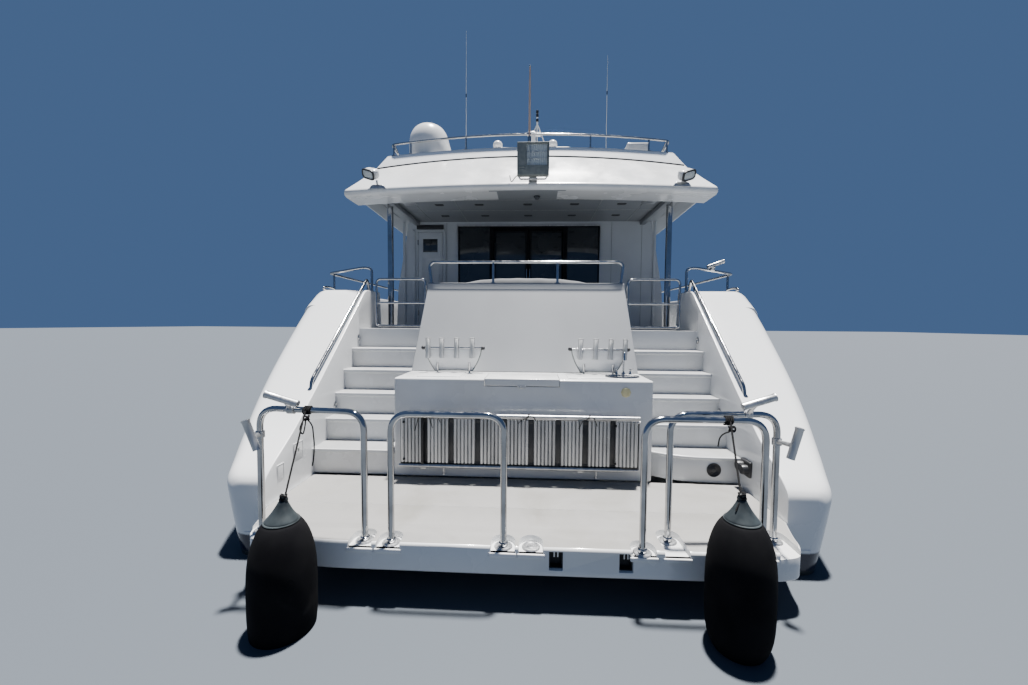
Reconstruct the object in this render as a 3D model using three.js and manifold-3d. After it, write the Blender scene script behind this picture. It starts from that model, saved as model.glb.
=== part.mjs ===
// Motor yacht, 31 m over all, with a raised pilothouse and a stern of stairs and swim platform.
// Millimetres: +X starboard, +Y to the bow, +Z up. The origin lies on the waterline, on the centreline,
// at the foot of the stern stairs.

import * as THREE from 'three';
import { mergeVertices } from 'three/addons/utils/BufferGeometryUtils.js';
import Module from 'manifold-3d';

const wasm = await Module();
wasm.setup();

// Driving heights
const PLATFORM_TOP = 450;
const PLATFORM_FOOT = 215;
const MAIN_DECK = 1970;
const FOREDECK = 3000;
const SOFFIT = 4050;
const BOAT_DECK = 4570;
const LOCKER_TOP = 1485;
const CAP = 2520;
const HARDTOP = 6600;
const PILOT_ROOF = 5350;

// Driving lengths, from aft to forward
const STAIR_FOOT = -200;
const DECK_AFT = 1100;
const WING_END = 2600;
const HOUSE_AFT = 3700;
const HOUSE_FORE = 15500;
const BOW = 31000;
const STERN = -965;

// Driving thicknesses and gaps
const GAP = 0.3;
const BULWARK = 130;
const HOUSE_WALL = 90;
const PILOT_WALL = 80;
const SEAT = 0.6;

const SIDES = [{ side: 'port', sign: -1 }, { side: 'starboard', sign: 1 }];

const paint = {
  gelcoat: [0xf2f2ef, 0.25, 0.0],
  steel: [0xc9ccd0, 0.15, 1.0],
  aluminium: [0xaeb2b6, 0.35, 0.9],
  bronze: [0xa9853f, 0.35, 1.0],
  glass: [0x16191c, 0.05, 0.0],
  canvas: [0x17181a, 0.9, 0.0],
  cushion: [0xb9b9b6, 0.85, 0.0],
};

const yacht = new THREE.Group();

// A closed three.js geometry becomes a solid that can be joined and cut, its like points made one
const SAME_POINT = 1e-3;
function solid(geometry) {
  const plain = new THREE.BufferGeometry();
  plain.setAttribute('position', geometry.getAttribute('position'));
  if (geometry.index) plain.setIndex(geometry.index);
  const merged = mergeVertices(plain, SAME_POINT);
  return new wasm.Manifold(new wasm.Mesh({
    numProp: 3,
    vertProperties: new Float32Array(merged.getAttribute('position').array),
    triVerts: new Uint32Array(merged.index.array),
  }));
}

// And back again
function geometryOf(shape) {
  const { vertProperties, triVerts } = shape.getMesh();
  const geometry = new THREE.BufferGeometry();
  geometry.setAttribute('position', new THREE.BufferAttribute(new Float32Array(vertProperties), 3));
  geometry.setIndex(new THREE.BufferAttribute(new Uint32Array(triVerts), 1));
  return geometry;
}

function piece(name, shape, look) {
  const [color, roughness, metalness] = paint[look];
  const geometry = geometryOf(shape);
  geometry.computeVertexNormals();
  const mesh = new THREE.Mesh(geometry, new THREE.MeshStandardMaterial({ color, roughness, metalness }));
  mesh.name = name;
  yacht.add(mesh);
}

const join = (...shapes) => shapes.reduce((all, shape) => all.add(shape));

function moved(shape, matrix) {
  return solid(geometryOf(shape).applyMatrix4(matrix));
}

// The largest of a shape's separate bodies
const largest = (shape) => shape.decompose().sort((a, b) => b.volume() - a.volume())[0];

const shifted = (shape, x, y, z) => moved(shape, new THREE.Matrix4().makeTranslation(x, y, z));

function extruded(outline, low, high, matrix) {
  const shape = new THREE.Shape(outline.map(([a, b]) => new THREE.Vector2(a, b)));
  const geometry = new THREE.ExtrudeGeometry(shape, { depth: high - low, bevelEnabled: false });
  geometry.translate(0, 0, low);
  return solid(geometry.applyMatrix4(matrix));
}

// An outline of [x, y] points between two heights
const overZ = (outline, low, high) => extruded(outline, low, high, new THREE.Matrix4());

// An outline of [y, z] points between two places across the boat
const acrossBoat = new THREE.Matrix4().makeBasis(
  new THREE.Vector3(0, 1, 0), new THREE.Vector3(0, 0, 1), new THREE.Vector3(1, 0, 0));
const overX = (outline, low, high) => extruded(outline, low, high, acrossBoat);

// An outline of [x, z] points between two places along the boat
const alongBoat = new THREE.Matrix4().makeRotationX(Math.PI / 2);
const overY = (outline, low, high) => extruded(outline, -high, -low, alongBoat);

function box(x0, x1, y0, y1, z0, z1) {
  const geometry = new THREE.BoxGeometry(x1 - x0, y1 - y0, z1 - z0);
  return solid(geometry.translate((x0 + x1) / 2, (y0 + y1) / 2, (z0 + z1) / 2));
}

// The same box on the port or the starboard side, given by its distances from the centreline
function sideBox(sign, inner, outer, y0, y1, z0, z1) {
  return sign > 0 ? box(inner, outer, y0, y1, z0, z1) : box(-outer, -inner, y0, y1, z0, z1);
}

// A cylinder from one point to another
function rod(from, to, radius, facets = 16) {
  const start = new THREE.Vector3(...from);
  const way = new THREE.Vector3(...to).sub(start);
  const geometry = new THREE.CylinderGeometry(radius, radius, way.length(), facets);
  geometry.translate(0, way.length() / 2, 0);
  geometry.applyQuaternion(new THREE.Quaternion().setFromUnitVectors(
    new THREE.Vector3(0, 1, 0), way.clone().normalize()));
  return solid(geometry.translate(start.x, start.y, start.z));
}

// A pipe's route runs through its points at even steps of its parameter
class Route extends THREE.Curve {
  constructor(points) {
    super();
    this.points = points.map((point) => new THREE.Vector3(...point));
  }

  getPoint(t) {
    const place = t * (this.points.length - 1);
    const index = Math.min(Math.floor(place), this.points.length - 2);
    return this.points[index].clone().lerp(this.points[index + 1], place - index);
  }

  getUtoTmapping(u) {
    return u;
  }
}

// Corners of a route become bends of the given size
function bent(points, bend, steps = 4) {
  const route = [points[0]];
  for (let i = 1; i < points.length - 1; i += 1) {
    const corner = new THREE.Vector3(...points[i]);
    const before = new THREE.Vector3(...points[i - 1]).sub(corner);
    const after = new THREE.Vector3(...points[i + 1]).sub(corner);
    const reach = Math.min(bend, before.length() * 0.45, after.length() * 0.45);
    const curve = new THREE.QuadraticBezierCurve3(
      corner.clone().addScaledVector(before.normalize(), reach),
      corner,
      corner.clone().addScaledVector(after.normalize(), reach));
    for (const point of curve.getPoints(steps)) route.push(point.toArray());
  }
  route.push(points[points.length - 1]);
  return route;
}

function pipe(points, radius, facets = 8) {
  const outline = [];
  for (let i = 0; i < facets; i += 1) {
    const angle = (i / facets) * 2 * Math.PI;
    outline.push(new THREE.Vector2(radius * Math.cos(angle), radius * Math.sin(angle)));
  }
  return solid(new THREE.ExtrudeGeometry(new THREE.Shape(outline), {
    steps: points.length - 1,
    bevelEnabled: false,
    extrudePath: new Route(points),
  }));
}

// A turned shape about a vertical axis, from [radius, z] points that start and end on the axis
function turned(profile, x, y, facets = 24) {
  const points = profile.map(([radius, z]) => new THREE.Vector2(radius, z));
  const geometry = new THREE.LatheGeometry(points, facets);
  geometry.rotateX(Math.PI / 2);
  return solid(geometry.translate(x, y, 0));
}

// A skin through rings of points, closed by a cap at each end
function loft(rings) {
  const around = rings[0].length;
  const points = rings.flat();
  const faces = [];
  for (let i = 0; i < rings.length - 1; i += 1) {
    for (let j = 0; j < around; j += 1) {
      const a = i * around + j;
      const b = i * around + ((j + 1) % around);
      faces.push([a, b + around, b], [a, a + around, b + around]);
    }
  }
  const flat = (ring) => ring.map((point) => new THREE.Vector2(point[0], point[2]));
  const last = (rings.length - 1) * around;
  for (const [a, b, c] of THREE.ShapeUtils.triangulateShape(flat(rings[0]), [])) faces.push([a, b, c]);
  for (const [a, b, c] of THREE.ShapeUtils.triangulateShape(flat(rings[rings.length - 1]), [])) {
    faces.push([last + c, last + b, last + a]);
  }
  const geometry = new THREE.BufferGeometry();
  geometry.setAttribute('position', new THREE.BufferAttribute(new Float32Array(points.flat()), 3));
  geometry.setIndex(faces.flat());
  return solid(geometry);
}

// Hull stations from aft to forward, with these columns: y at the sheer, how far the keel lies aft of
// that, height of the keel line, half width and height of the chine, half width of the topside a third
// of the way up, half width and height of the sheer
const STATIONS = [
  [STERN, 0, -620, 2330, -262, 2600, 2640, CAP],
  [-500, 0, -640, 2470, -270, 2740, 2790, CAP],
  [0, 0, -670, 2560, -280, 2835, 2905, CAP],
  [600, 0, -700, 2640, -290, 2900, 2980, CAP],
  [1600, 0, -760, 2720, -300, 2970, 3050, CAP],
  [4500, 0, -900, 2800, -310, 3070, 3180, 2540],
  [9000, 0, -1020, 2860, -300, 3130, 3270, 2600],
  [13500, 0, -1060, 2840, -260, 3120, 3310, 2740],
  [17000, 0, -1040, 2650, -180, 2980, 3290, 3050],
  [20000, 100, -1000, 2260, -40, 2690, 3170, 3450],
  [22500, 250, -930, 1720, 140, 2220, 2880, 3700],
  [25000, 500, -800, 1060, 380, 1560, 2320, 3900],
  [27200, 850, -580, 460, 640, 820, 1490, 4050],
  [28700, 1250, -250, 130, 880, 290, 680, 4140],
  [29500, 1700, 300, 15, 1100, 25, 130, 4190],
];
const [Y, RAKE, KEEL, CHINE_HALF, CHINE_Z, SIDE_HALF, SHEER_HALF, SHEER_Z] = [0, 1, 2, 3, 4, 5, 6, 7];
const NARROWEST = 150;
const CHINE_FLAT = 1.035;

// The station at any place along the boat, on smooth curves through the table's columns
function stationAt(y) {
  const last = STATIONS.length - 1;
  const next = STATIONS.findIndex((row) => row[Y] > y);
  const i = next < 0 ? last - 1 : Math.max(next - 1, 0);
  const [a, b] = [STATIONS[i], STATIONS[i + 1]];
  const [before, after] = [STATIONS[Math.max(i - 1, 0)], STATIONS[Math.min(i + 2, last)]];
  const t = (y - a[Y]) / (b[Y] - a[Y]);
  return a.map((value, column) => {
    const span = b[Y] - a[Y];
    const slopeA = ((b[column] - before[column]) / (b[Y] - before[Y])) * span;
    const slopeB = ((after[column] - value) / (after[Y] - a[Y])) * span;
    const [t2, t3] = [t * t, t * t * t];
    return (2 * t3 - 3 * t2 + 1) * value + (t3 - 2 * t2 + t) * slopeA
      + (3 * t2 - 2 * t3) * b[column] + (t3 - t2) * slopeB;
  });
}

// Half width of a station's topside at a height: a curve from the chine to the sheer
function halfAt(row, z) {
  const t = Math.min(Math.max((z - row[CHINE_Z]) / (row[SHEER_Z] - row[CHINE_Z]), 0), 1);
  const flat = row[CHINE_HALF] * CHINE_FLAT;
  const third = 0.33;
  const bulge = (row[SIDE_HALF] - flat - (row[SHEER_HALF] - flat) * third) / (third * (1 - third));
  return flat + (row[SHEER_HALF] - flat) * t + bulge * t * (1 - t);
}

// Top of the hull's sides: the falling profile of the stern wings as [y, z], then the sheer
const WING_AFT = -960;
const WING_PROFILE = [
  [WING_AFT, 450], [-955, 600], [-940, 665], [-900, 715], [-820, 775], [-640, 890], [-440, 1025], [1360, 2500],
  [1400, 2515], [1480, CAP]];
function topAt(y) {
  const i = WING_PROFILE.findIndex((point) => point[0] > y);
  if (i < 0) return stationAt(y)[SHEER_Z];
  if (i === 0) return WING_PROFILE[0][1];
  const [a, b] = [WING_PROFILE[i - 1], WING_PROFILE[i]];
  return a[1] + ((b[1] - a[1]) * (y - a[0])) / (b[0] - a[0]);
}

// Places of the hull's sections: along the wings' profile, then at the stations and between them
const WING_STATIONS = 5;
const BETWEEN = 3;
const sectionPlaces = [STERN, ...WING_PROFILE.map(([y]) => y), -200, 150, 500, 850, 1150];
for (let i = WING_STATIONS - 1; i < STATIONS.length - 1; i += 1) {
  for (let j = 0; j < BETWEEN; j += 1) {
    sectionPlaces.push(STATIONS[i][Y] + ((STATIONS[i + 1][Y] - STATIONS[i][Y]) * j) / BETWEEN);
  }
}
sectionPlaces.push(STATIONS[STATIONS.length - 1][Y]);
sectionPlaces.sort((a, b) => a - b);

// The hull's outer form, or the space inside it at a given distance from its skin, whose sections lie a
// little forward of the outer ones
const INSIDE_SHIFT = 8;
const TOPSIDE_STEPS = [0.005, 0.22, 0.45, 0.7, 1];
const SHOULDER = 90;
const SHEER_EDGE = 12;
const HEADROOM = 500;
function hullForm(inset) {
  const rings = [];
  for (const place of sectionPlaces) {
    const y = place + (inset > 0 ? INSIDE_SHIFT : 0);
    const row = stationAt(y);
    if (inset > 0 && row[SHEER_HALF] - inset < NARROWEST) continue;
    const top = topAt(y) + (inset > 0 ? HEADROOM : 0);
    const shoulder = y < WING_END ? SHOULDER : SHEER_EDGE;
    const crest = top - shoulder - row[CHINE_Z];
    const edge = halfAt(row, top);
    const half = [
      [row[CHINE_HALF], row[CHINE_Z]],
      ...TOPSIDE_STEPS.map((t) => row[CHINE_Z] + crest * t).map((z) => [halfAt(row, z), z]),
      [edge - shoulder * 0.3, top - shoulder * 0.3],
      [edge - shoulder, top],
    ].map(([x, z]) => [Math.max(x - inset, 5), z]);
    const raked = ([x, z]) => [
      x, y - (row[RAKE] * (row[SHEER_Z] - z)) / (row[SHEER_Z] - row[KEEL]), z];
    rings.push([
      raked([0, row[KEEL]]),
      ...half.map(raked),
      ...half.map(([x, z]) => raked([-x, z])).reverse(),
    ]);
  }
  return loft(rings);
}

const form = hullForm(0);
const insideForm = hullForm(BULWARK);

// The side decks climb to the foredeck in four steps beside the pilothouse
const SIDE_STEPS = 4;
const SIDE_TREAD = 350;
const SIDE_DECK_INNER = 2300;
const sideRise = (FOREDECK - MAIN_DECK) / SIDE_STEPS;
const sideDeck = [[HOUSE_FORE - 1, MAIN_DECK]];
for (let i = 1; i <= SIDE_STEPS; i += 1) {
  const front = HOUSE_FORE + i * SIDE_TREAD;
  sideDeck.push([front, MAIN_DECK + (i - 1) * sideRise], [front, MAIN_DECK + i * sideRise]);
}
const STEPS_END = HOUSE_FORE + SIDE_STEPS * SIDE_TREAD;

// Shaft lines: the propellers' centres, and where the shafts go into the hull
const SHAFT_X = 1350;
const PROP = { y: 900, z: -1100, radius: 460 };
const STERN_TUBE = { y: 4400, z: -610, radius: 80 };
const SHAFT_RADIUS = 42;
const BEARING_GAP = 0.8;
const BORE_FACETS = 32;
const shaftAt = (sign, t) => [
  sign * SHAFT_X,
  PROP.y + (STERN_TUBE.y - PROP.y) * t,
  PROP.z + (STERN_TUBE.z - PROP.z) * t,
];

// Rudders behind the propellers
const RUDDER = { x: 1350, y: 300, top: -560, foot: -1540, stock: 40, head: -400 };

// Stabiliser fins stand square on the bottom, near its edge
const FIN = { x: 2150, y: 11000, z: -488, span: 780, lean: THREE.MathUtils.degToRad(15), stock: 40 };
const finPoint = (sign, down) => [
  sign * (FIN.x + down * Math.sin(FIN.lean)), FIN.y, FIN.z - down * Math.cos(FIN.lean)];

function hull() {
  let shape = form.subtract(overX([
    [-2000, PLATFORM_FOOT], [DECK_AFT, PLATFORM_FOOT], [DECK_AFT, MAIN_DECK], [HOUSE_FORE, MAIN_DECK],
    [HOUSE_FORE, FOREDECK], [BOW, FOREDECK], [BOW, 9000], [-2000, 9000]], -4000, 4000));
  const keel = overX([[5200, -700], [6100, -1750], [19500, -1750], [22600, -850], [22600, -700]], -95, 95);
  shape = shape.add(keel);
  for (const { sign } of SIDES) {
    const above = [...sideDeck, [STEPS_END, FOREDECK + 100], [HOUSE_FORE - 1, FOREDECK + 100]];
    const low = sign > 0 ? SIDE_DECK_INNER : -4000;
    shape = shape.subtract(overX(above, low, low + 4000 - SIDE_DECK_INNER));
    shape = shape.add(rod(shaftAt(sign, 0.9), shaftAt(sign, 1.1), STERN_TUBE.radius));
    shape = shape.subtract(rod(shaftAt(sign, 0.85), shaftAt(sign, 0.98), SHAFT_RADIUS + BEARING_GAP,
      BORE_FACETS));
    const rudderX = sign * RUDDER.x;
    shape = shape.subtract(rod([rudderX, RUDDER.y, -700], [rudderX, RUDDER.y, RUDDER.head + 5],
      RUDDER.stock + BEARING_GAP, BORE_FACETS));
    shape = shape.subtract(rod(finPoint(sign, 200), finPoint(sign, -155), FIN.stock + BEARING_GAP, BORE_FACETS));
  }
  return shape;
}

const hullShape = hull();
piece('hull', hullShape, 'gelcoat');

// Under the water: struts, propellers on their shafts, rudders and fins
function strut(sign) {
  const [x, y, z] = shaftAt(sign, 0.1);
  let shape = rod(shaftAt(sign, 0.06), shaftAt(sign, 0.14), 78);
  for (const lean of [-1, 1]) {
    const foot = [x + lean * 330, y + 60, z + 700];
    const arm = rod([x + lean * 20, y, z + 40], foot, 34, 8);
    shape = shape.add(arm);
  }
  shape = shape.subtract(rod(shaftAt(sign, 0.04), shaftAt(sign, 0.16), SHAFT_RADIUS + BEARING_GAP,
    BORE_FACETS));
  return shape.subtract(shifted(form, 0, 0, -GAP));
}

function blade(angle) {
  const outline = new THREE.Shape();
  outline.moveTo(-70, 60);
  outline.bezierCurveTo(-230, 180, -220, 380, -60, PROP.radius);
  outline.bezierCurveTo(120, 440, 200, 240, 70, 60);
  const geometry = new THREE.ExtrudeGeometry(outline, { depth: 18, bevelEnabled: false, curveSegments: 5 });
  geometry.translate(0, 0, -9);
  geometry.rotateY(THREE.MathUtils.degToRad(55));
  geometry.rotateX(Math.PI / 2);
  geometry.rotateY(angle);
  return solid(geometry);
}

function propeller(sign) {
  const blades = 4;
  let shape = rod([0, -150, 0], [0, 110, 0], 85);
  shape = shape.add(rod([0, -210, 0], [0, -149, 0], 55));
  for (let i = 0; i < blades; i += 1) shape = shape.add(blade((i / blades) * 2 * Math.PI + 0.4));
  const length = Math.hypot(STERN_TUBE.y - PROP.y, STERN_TUBE.z - PROP.z);
  shape = shape.add(rod([0, 100, 0], [0, length * 0.975, 0], SHAFT_RADIUS));
  const slope = Math.atan2(STERN_TUBE.z - PROP.z, STERN_TUBE.y - PROP.y);
  const matrix = new THREE.Matrix4().makeRotationX(slope);
  matrix.setPosition(sign * SHAFT_X, PROP.y, PROP.z);
  return moved(shape, matrix);
}

function foil(chord, thickness, lead) {
  return [
    [0, lead * chord], [thickness * 0.38, lead * chord - chord * 0.06], [thickness * 0.5, lead * chord - chord * 0.25],
    [thickness * 0.12, lead * chord - chord], [-thickness * 0.12, lead * chord - chord],
    [-thickness * 0.5, lead * chord - chord * 0.25], [-thickness * 0.38, lead * chord - chord * 0.06],
  ];
}

function rudder(sign) {
  const shape = overZ(foil(600, 90, 0.27), RUDDER.foot, RUDDER.top);
  const stock = rod([0, 0, RUDDER.top - 100], [0, 0, RUDDER.head], RUDDER.stock);
  return shifted(shape.add(stock), sign * RUDDER.x, RUDDER.y, 0);
}

function fin(sign) {
  let shape = overZ(foil(900, 110, 0.35), -FIN.span, -18);
  shape = shape.add(rod([0, 0, -60], [0, 0, 150], FIN.stock));
  const matrix = new THREE.Matrix4().makeRotationY(-sign * FIN.lean);
  matrix.setPosition(sign * FIN.x, FIN.y, FIN.z);
  return moved(shape, matrix);
}

for (const { side, sign } of SIDES) {
  piece(`shaft_strut_${side}`, strut(sign), 'bronze');
  piece(`propeller_${side}`, propeller(sign), 'bronze');
  piece(`rudder_${side}`, rudder(sign), 'bronze');
  piece(`stabiliser_fin_${side}`, fin(sign), 'gelcoat');
}

// Stern wings: the rounded quarters beside the stairs, which narrow to the bulwarks on the aft deck
const WING_FOOT_X = 2200;
const WING_HEAD_X = 2290;
const WING_HEAD_Z = 2600;
const WING_TAPER = 1900;
const BULWARK_INNER = 2910;
const ABOVE = 3000;
const wingForm = form.intersect(overX([
  [WING_AFT, PLATFORM_FOOT + GAP], [WING_AFT, ABOVE], [WING_END, ABOVE], [WING_END, MAIN_DECK + GAP],
  [DECK_AFT - GAP, MAIN_DECK + GAP], [DECK_AFT - GAP, PLATFORM_FOOT + GAP]], -4000, 4000));

// Everything outboard of the stairs' outer walls, which lean outward as they rise
function outboard(sign, clearance) {
  const foot = sign * (WING_FOOT_X - clearance);
  const head = sign * (WING_HEAD_X - clearance);
  return overY([[foot, PLATFORM_FOOT], [head, WING_HEAD_Z], [sign * 3600, WING_HEAD_Z],
    [sign * 3600, PLATFORM_FOOT]], -1500, WING_END + 100);
}

// Stern gates: half of the opening, the hinge line, and heights of the tubes and of the hinge lugs
const GATE = { hinge: 2085, inner: 1390, y: 1260, foot: 2010, middle: 2330, top: 2660, tube: 16 };
const GATE_LUGS = [[2100, 2124], [2360, 2384]];
const LUG_REACH = 26;

for (const { side, sign } of SIDES) {
  const taper = overZ([[WING_FOOT_X, WING_TAPER], [WING_HEAD_X, WING_TAPER], [BULWARK_INNER, WING_END + 1],
    [WING_FOOT_X, WING_END + 1]].map(([x, y]) => [sign * x, y]), MAIN_DECK, ABOVE);
  let wing = wingForm.intersect(outboard(sign, 0)).subtract(taper);
  for (const [low, high] of GATE_LUGS) {
    wing = wing.add(sideBox(sign, GATE.hinge - LUG_REACH, WING_HEAD_X + 20, GATE.y - LUG_REACH,
      GATE.y + LUG_REACH, low, high));
    wing = wing.subtract(rod([sign * GATE.hinge, GATE.y, low - 5], [sign * GATE.hinge, GATE.y, high + 5],
      GATE.tube + BEARING_GAP, BORE_FACETS));
  }
  piece(`stern_wing_${side}`, wing, 'gelcoat');
}

// Bulwarks from the wings to the stem, standing on the side decks
const bulwarkSpace = [
  [WING_END + GAP, MAIN_DECK + GAP],
  ...sideDeck.slice(1).map(([y, z]) => [y - GAP, z + GAP]),
  [BOW, FOREDECK + GAP], [BOW, 9000], [WING_END + GAP, 9000]];
for (const { side, sign } of SIDES) {
  const wall = form.subtract(insideForm).intersect(
    overX(bulwarkSpace, sign > 0 ? GAP / 2 : -4000, sign > 0 ? 4000 : -GAP / 2));
  piece(`bulwark_${side}`, wall, 'gelcoat');
}

// Swim platform
const platformHalf = [
  [0, -1470], [1300, -1465], [1900, -1438], [2030, -1400], [2085, -1320], [2120, -1180],
  [WING_FOOT_X - GAP, WING_AFT - GAP], [WING_FOOT_X - GAP, STAIR_FOOT - GAP]];
const platformPlan = [
  ...platformHalf,
  ...platformHalf.slice(1).reverse().map(([x, y]) => [-x, y])];
piece('swim_platform', overZ(platformPlan, PLATFORM_FOOT + GAP, PLATFORM_TOP), 'gelcoat');

// Stairs on both sides of the stern locker: front and top of each step
const STEP_FRONTS = [STAIR_FOOT, 110, 350, 590, 850];
const FIRST_STEP = 720;
const STEP_RISE = 250;
const LOCKER_HALF = 1330;
const stairProfile = [[DECK_AFT - GAP, PLATFORM_FOOT + GAP], [STAIR_FOOT, PLATFORM_FOOT + GAP]];
STEP_FRONTS.forEach((front, i) => {
  const top = FIRST_STEP + i * STEP_RISE;
  const next = STEP_FRONTS[i + 1] ?? DECK_AFT - GAP;
  stairProfile.push([front, top], [next, top]);
});
// The lowest step to starboard has a curved front
const stepCurve = [[LOCKER_HALF + GAP, -10], [1400, -55], [1500, -110], [1640, -165], [1800, -195], [1990, -198],
  [2200, STAIR_FOOT + GAP]];
const curvedStep = overZ([...stepCurve, [2200, 200], [LOCKER_HALF + GAP, 200]], PLATFORM_FOOT + GAP, FIRST_STEP);
const besideCurve = box(1000, 2400, STAIR_FOOT - 50, 100, 200, FIRST_STEP + 50);
for (const { side, sign } of SIDES) {
  const low = sign > 0 ? LOCKER_HALF + GAP : -2400;
  let steps = overX(stairProfile, low, low + 2400 - LOCKER_HALF - GAP);
  if (sign > 0) steps = steps.subtract(besideCurve).add(curvedStep);
  piece(`stern_stairs_${side}`, steps.subtract(outboard(sign, GAP)), 'gelcoat');
}

// Stern locker between the stairs, with a well under its lid
const LID = { half: 385, front: STAIR_FOOT, back: 245, foot: 1412 };
const LID_GAP = 6;
const lockerBody = overX([
  [STAIR_FOOT, PLATFORM_FOOT + GAP], [STAIR_FOOT, LOCKER_TOP - 25], [STAIR_FOOT + 25, LOCKER_TOP],
  [DECK_AFT - GAP, LOCKER_TOP], [DECK_AFT - GAP, PLATFORM_FOOT + GAP]], -LOCKER_HALF, LOCKER_HALF);
const lidSeat = box(-LID.half - LID_GAP, LID.half + LID_GAP, LID.front - 50, LID.back + LID_GAP,
  LID.foot - SEAT, LOCKER_TOP + 50);
const lockerWell = box(-330, 330, -130, 190, 1050, LOCKER_TOP);
piece('stern_locker', lockerBody.subtract(lidSeat).subtract(lockerWell), 'gelcoat');
piece('locker_lid', box(-LID.half, LID.half, LID.front, LID.back, LID.foot, LOCKER_TOP + 5), 'gelcoat');

// Transom panel above the locker, its rail, and the settee behind it
const PANEL = { foot: 400, head: 935, shoulder: 2490, top: 2580, footHalf: 1330, topHalf: 1275 };
const panelSide = overX([
  [PANEL.foot, LOCKER_TOP + GAP], [PANEL.head, PANEL.shoulder], [PANEL.head, PANEL.top],
  [DECK_AFT - GAP, PANEL.top], [DECK_AFT - GAP, LOCKER_TOP + GAP]], -1400, 1400);
const panelFront = overY([
  [-PANEL.footHalf, LOCKER_TOP], [-PANEL.topHalf, PANEL.top + 10],
  [PANEL.topHalf, PANEL.top + 10], [PANEL.footHalf, LOCKER_TOP]], 0, 1200);
piece('transom_panel', panelSide.intersect(panelFront), 'gelcoat');

const RAIL = 19;
const transomRail = join(
  pipe(bent([[-1240, 1000, PANEL.top + GAP], [-1240, 1000, 2850], [1240, 1000, 2850],
    [1240, 1000, PANEL.top + GAP]], 110), RAIL),
  rod([-420, 1000, PANEL.top + GAP], [-420, 1000, 2850], RAIL * 0.8, 8),
  rod([420, 1000, PANEL.top + GAP], [420, 1000, 2850], RAIL * 0.8, 8));
piece('transom_rail', transomRail, 'steel');

piece('aft_settee', overX([
  [DECK_AFT + GAP, MAIN_DECK + GAP], [DECK_AFT + GAP, 2720], [1230, 2760], [1330, 2430],
  [1840, 2400], [1840, MAIN_DECK + GAP]], -1230, 1230), 'cushion');

// Hoops that stand on the platform: both legs as [x, y]
const HOOP_TOP = 1385;
const HOOP_RADIUS = 24;
const HOOPS = {
  hoop_port: [[-2010, -1285], [-1150, -1365]],
  hoop_centre: [[-940, -1385], [-95, -1385]],
  hoop_starboard_aft: [[915, -1410], [1755, -1410]],
  hoop_starboard_fore: [[1150, -1240], [1960, -1190]],
};
for (const [name, [[x0, y0], [x1, y1]]] of Object.entries(HOOPS)) {
  const route = [[x0, y0, PLATFORM_TOP + GAP], [x0, y0, HOOP_TOP], [x1, y1, HOOP_TOP], [x1, y1, PLATFORM_TOP + GAP]];
  const foot = (x, y) => rod([x, y, PLATFORM_TOP + GAP], [x, y, PLATFORM_TOP + 10], 40, 16);
  piece(name, join(pipe(bent(route, 130, 5), HOOP_RADIUS, 10), foot(x0, y0), foot(x1, y1)), 'steel');
}

// Fenders in black covers, hung from the hoops by short lanyards
const FENDER_RADIUS = 230;
const FENDERS = {
  fender_port: { x: -1560, foot: -210, shoulder: 680, hoopY: -1327 },
  fender_starboard: { x: 1460, foot: -85, shoulder: 800, hoopY: -1410 },
};
const FENDER_Y = -1735;
for (const [name, { x, foot, shoulder, hoopY }] of Object.entries(FENDERS)) {
  const body = turned([
    [0, foot], [150, foot], [FENDER_RADIUS, foot + 90], [FENDER_RADIUS, shoulder - 70],
    [150, shoulder], [60, shoulder + 40], [50, shoulder + 140], [0, shoulder + 150]], x, FENDER_Y);
  const lanyard = rod([x, FENDER_Y, shoulder + 120], [x, hoopY, HOOP_TOP], 7, 8);
  const bar = rod([x - 100, hoopY, HOOP_TOP], [x + 100, hoopY, HOOP_TOP], HOOP_RADIUS + GAP, BORE_FACETS);
  piece(name, body.add(lanyard).subtract(bar), 'canvas');
}

// Boarding gangway, stowed on its edge in front of the locker
const GANGWAY = { y0: -330, y1: -280, x0: -1240, x1: 1180, foot: 580, top: 1120 };
const gangwayTube = (z) => rod([GANGWAY.x0, -305, z], [GANGWAY.x1, -305, z], 32, 10);
const gangwayFoot = (x) => join(
  box(x - 20, x + 20, -320, STAIR_FOOT - GAP, 600, 640),
  box(x - 20, x + 20, -320, STAIR_FOOT - GAP, 1060, 1100));
piece('gangway', join(
  box(GANGWAY.x0, GANGWAY.x1, GANGWAY.y0, GANGWAY.y1, GANGWAY.foot + 20, GANGWAY.top - 20),
  gangwayTube(GANGWAY.foot + 20), gangwayTube(GANGWAY.top - 20),
  gangwayFoot(-1100), gangwayFoot(1040)), 'aluminium');

// Rod stations on the locker: a bar with four tubes, side legs and a splash board
const STATIONS_ON_LOCKER = { rod_station_port: [-1150, -460], rod_station_starboard: [530, 1180] };
const ROD_TUBES = 4;
const STATION_Y = 270;
for (const [name, [x0, x1]] of Object.entries(STATIONS_ON_LOCKER)) {
  const foot = LOCKER_TOP + GAP;
  let shape = pipe(bent([[x0, STATION_Y, foot], [x0, STATION_Y, 1770], [x1, STATION_Y, 1770],
    [x1, STATION_Y, foot]], 60), 16);
  shape = shape.add(box(x0 + 5, x1 - 5, STATION_Y - 9, STATION_Y + 9, foot + 30, 1740));
  for (let i = 0; i < ROD_TUBES; i += 1) {
    const x = x0 + ((i + 0.5) * (x1 - x0)) / ROD_TUBES;
    shape = shape.add(rod([x, STATION_Y + 10, 1655], [x, STATION_Y - 30, 1890], 25, 12));
  }
  piece(name, shape, 'steel');
}

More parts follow.
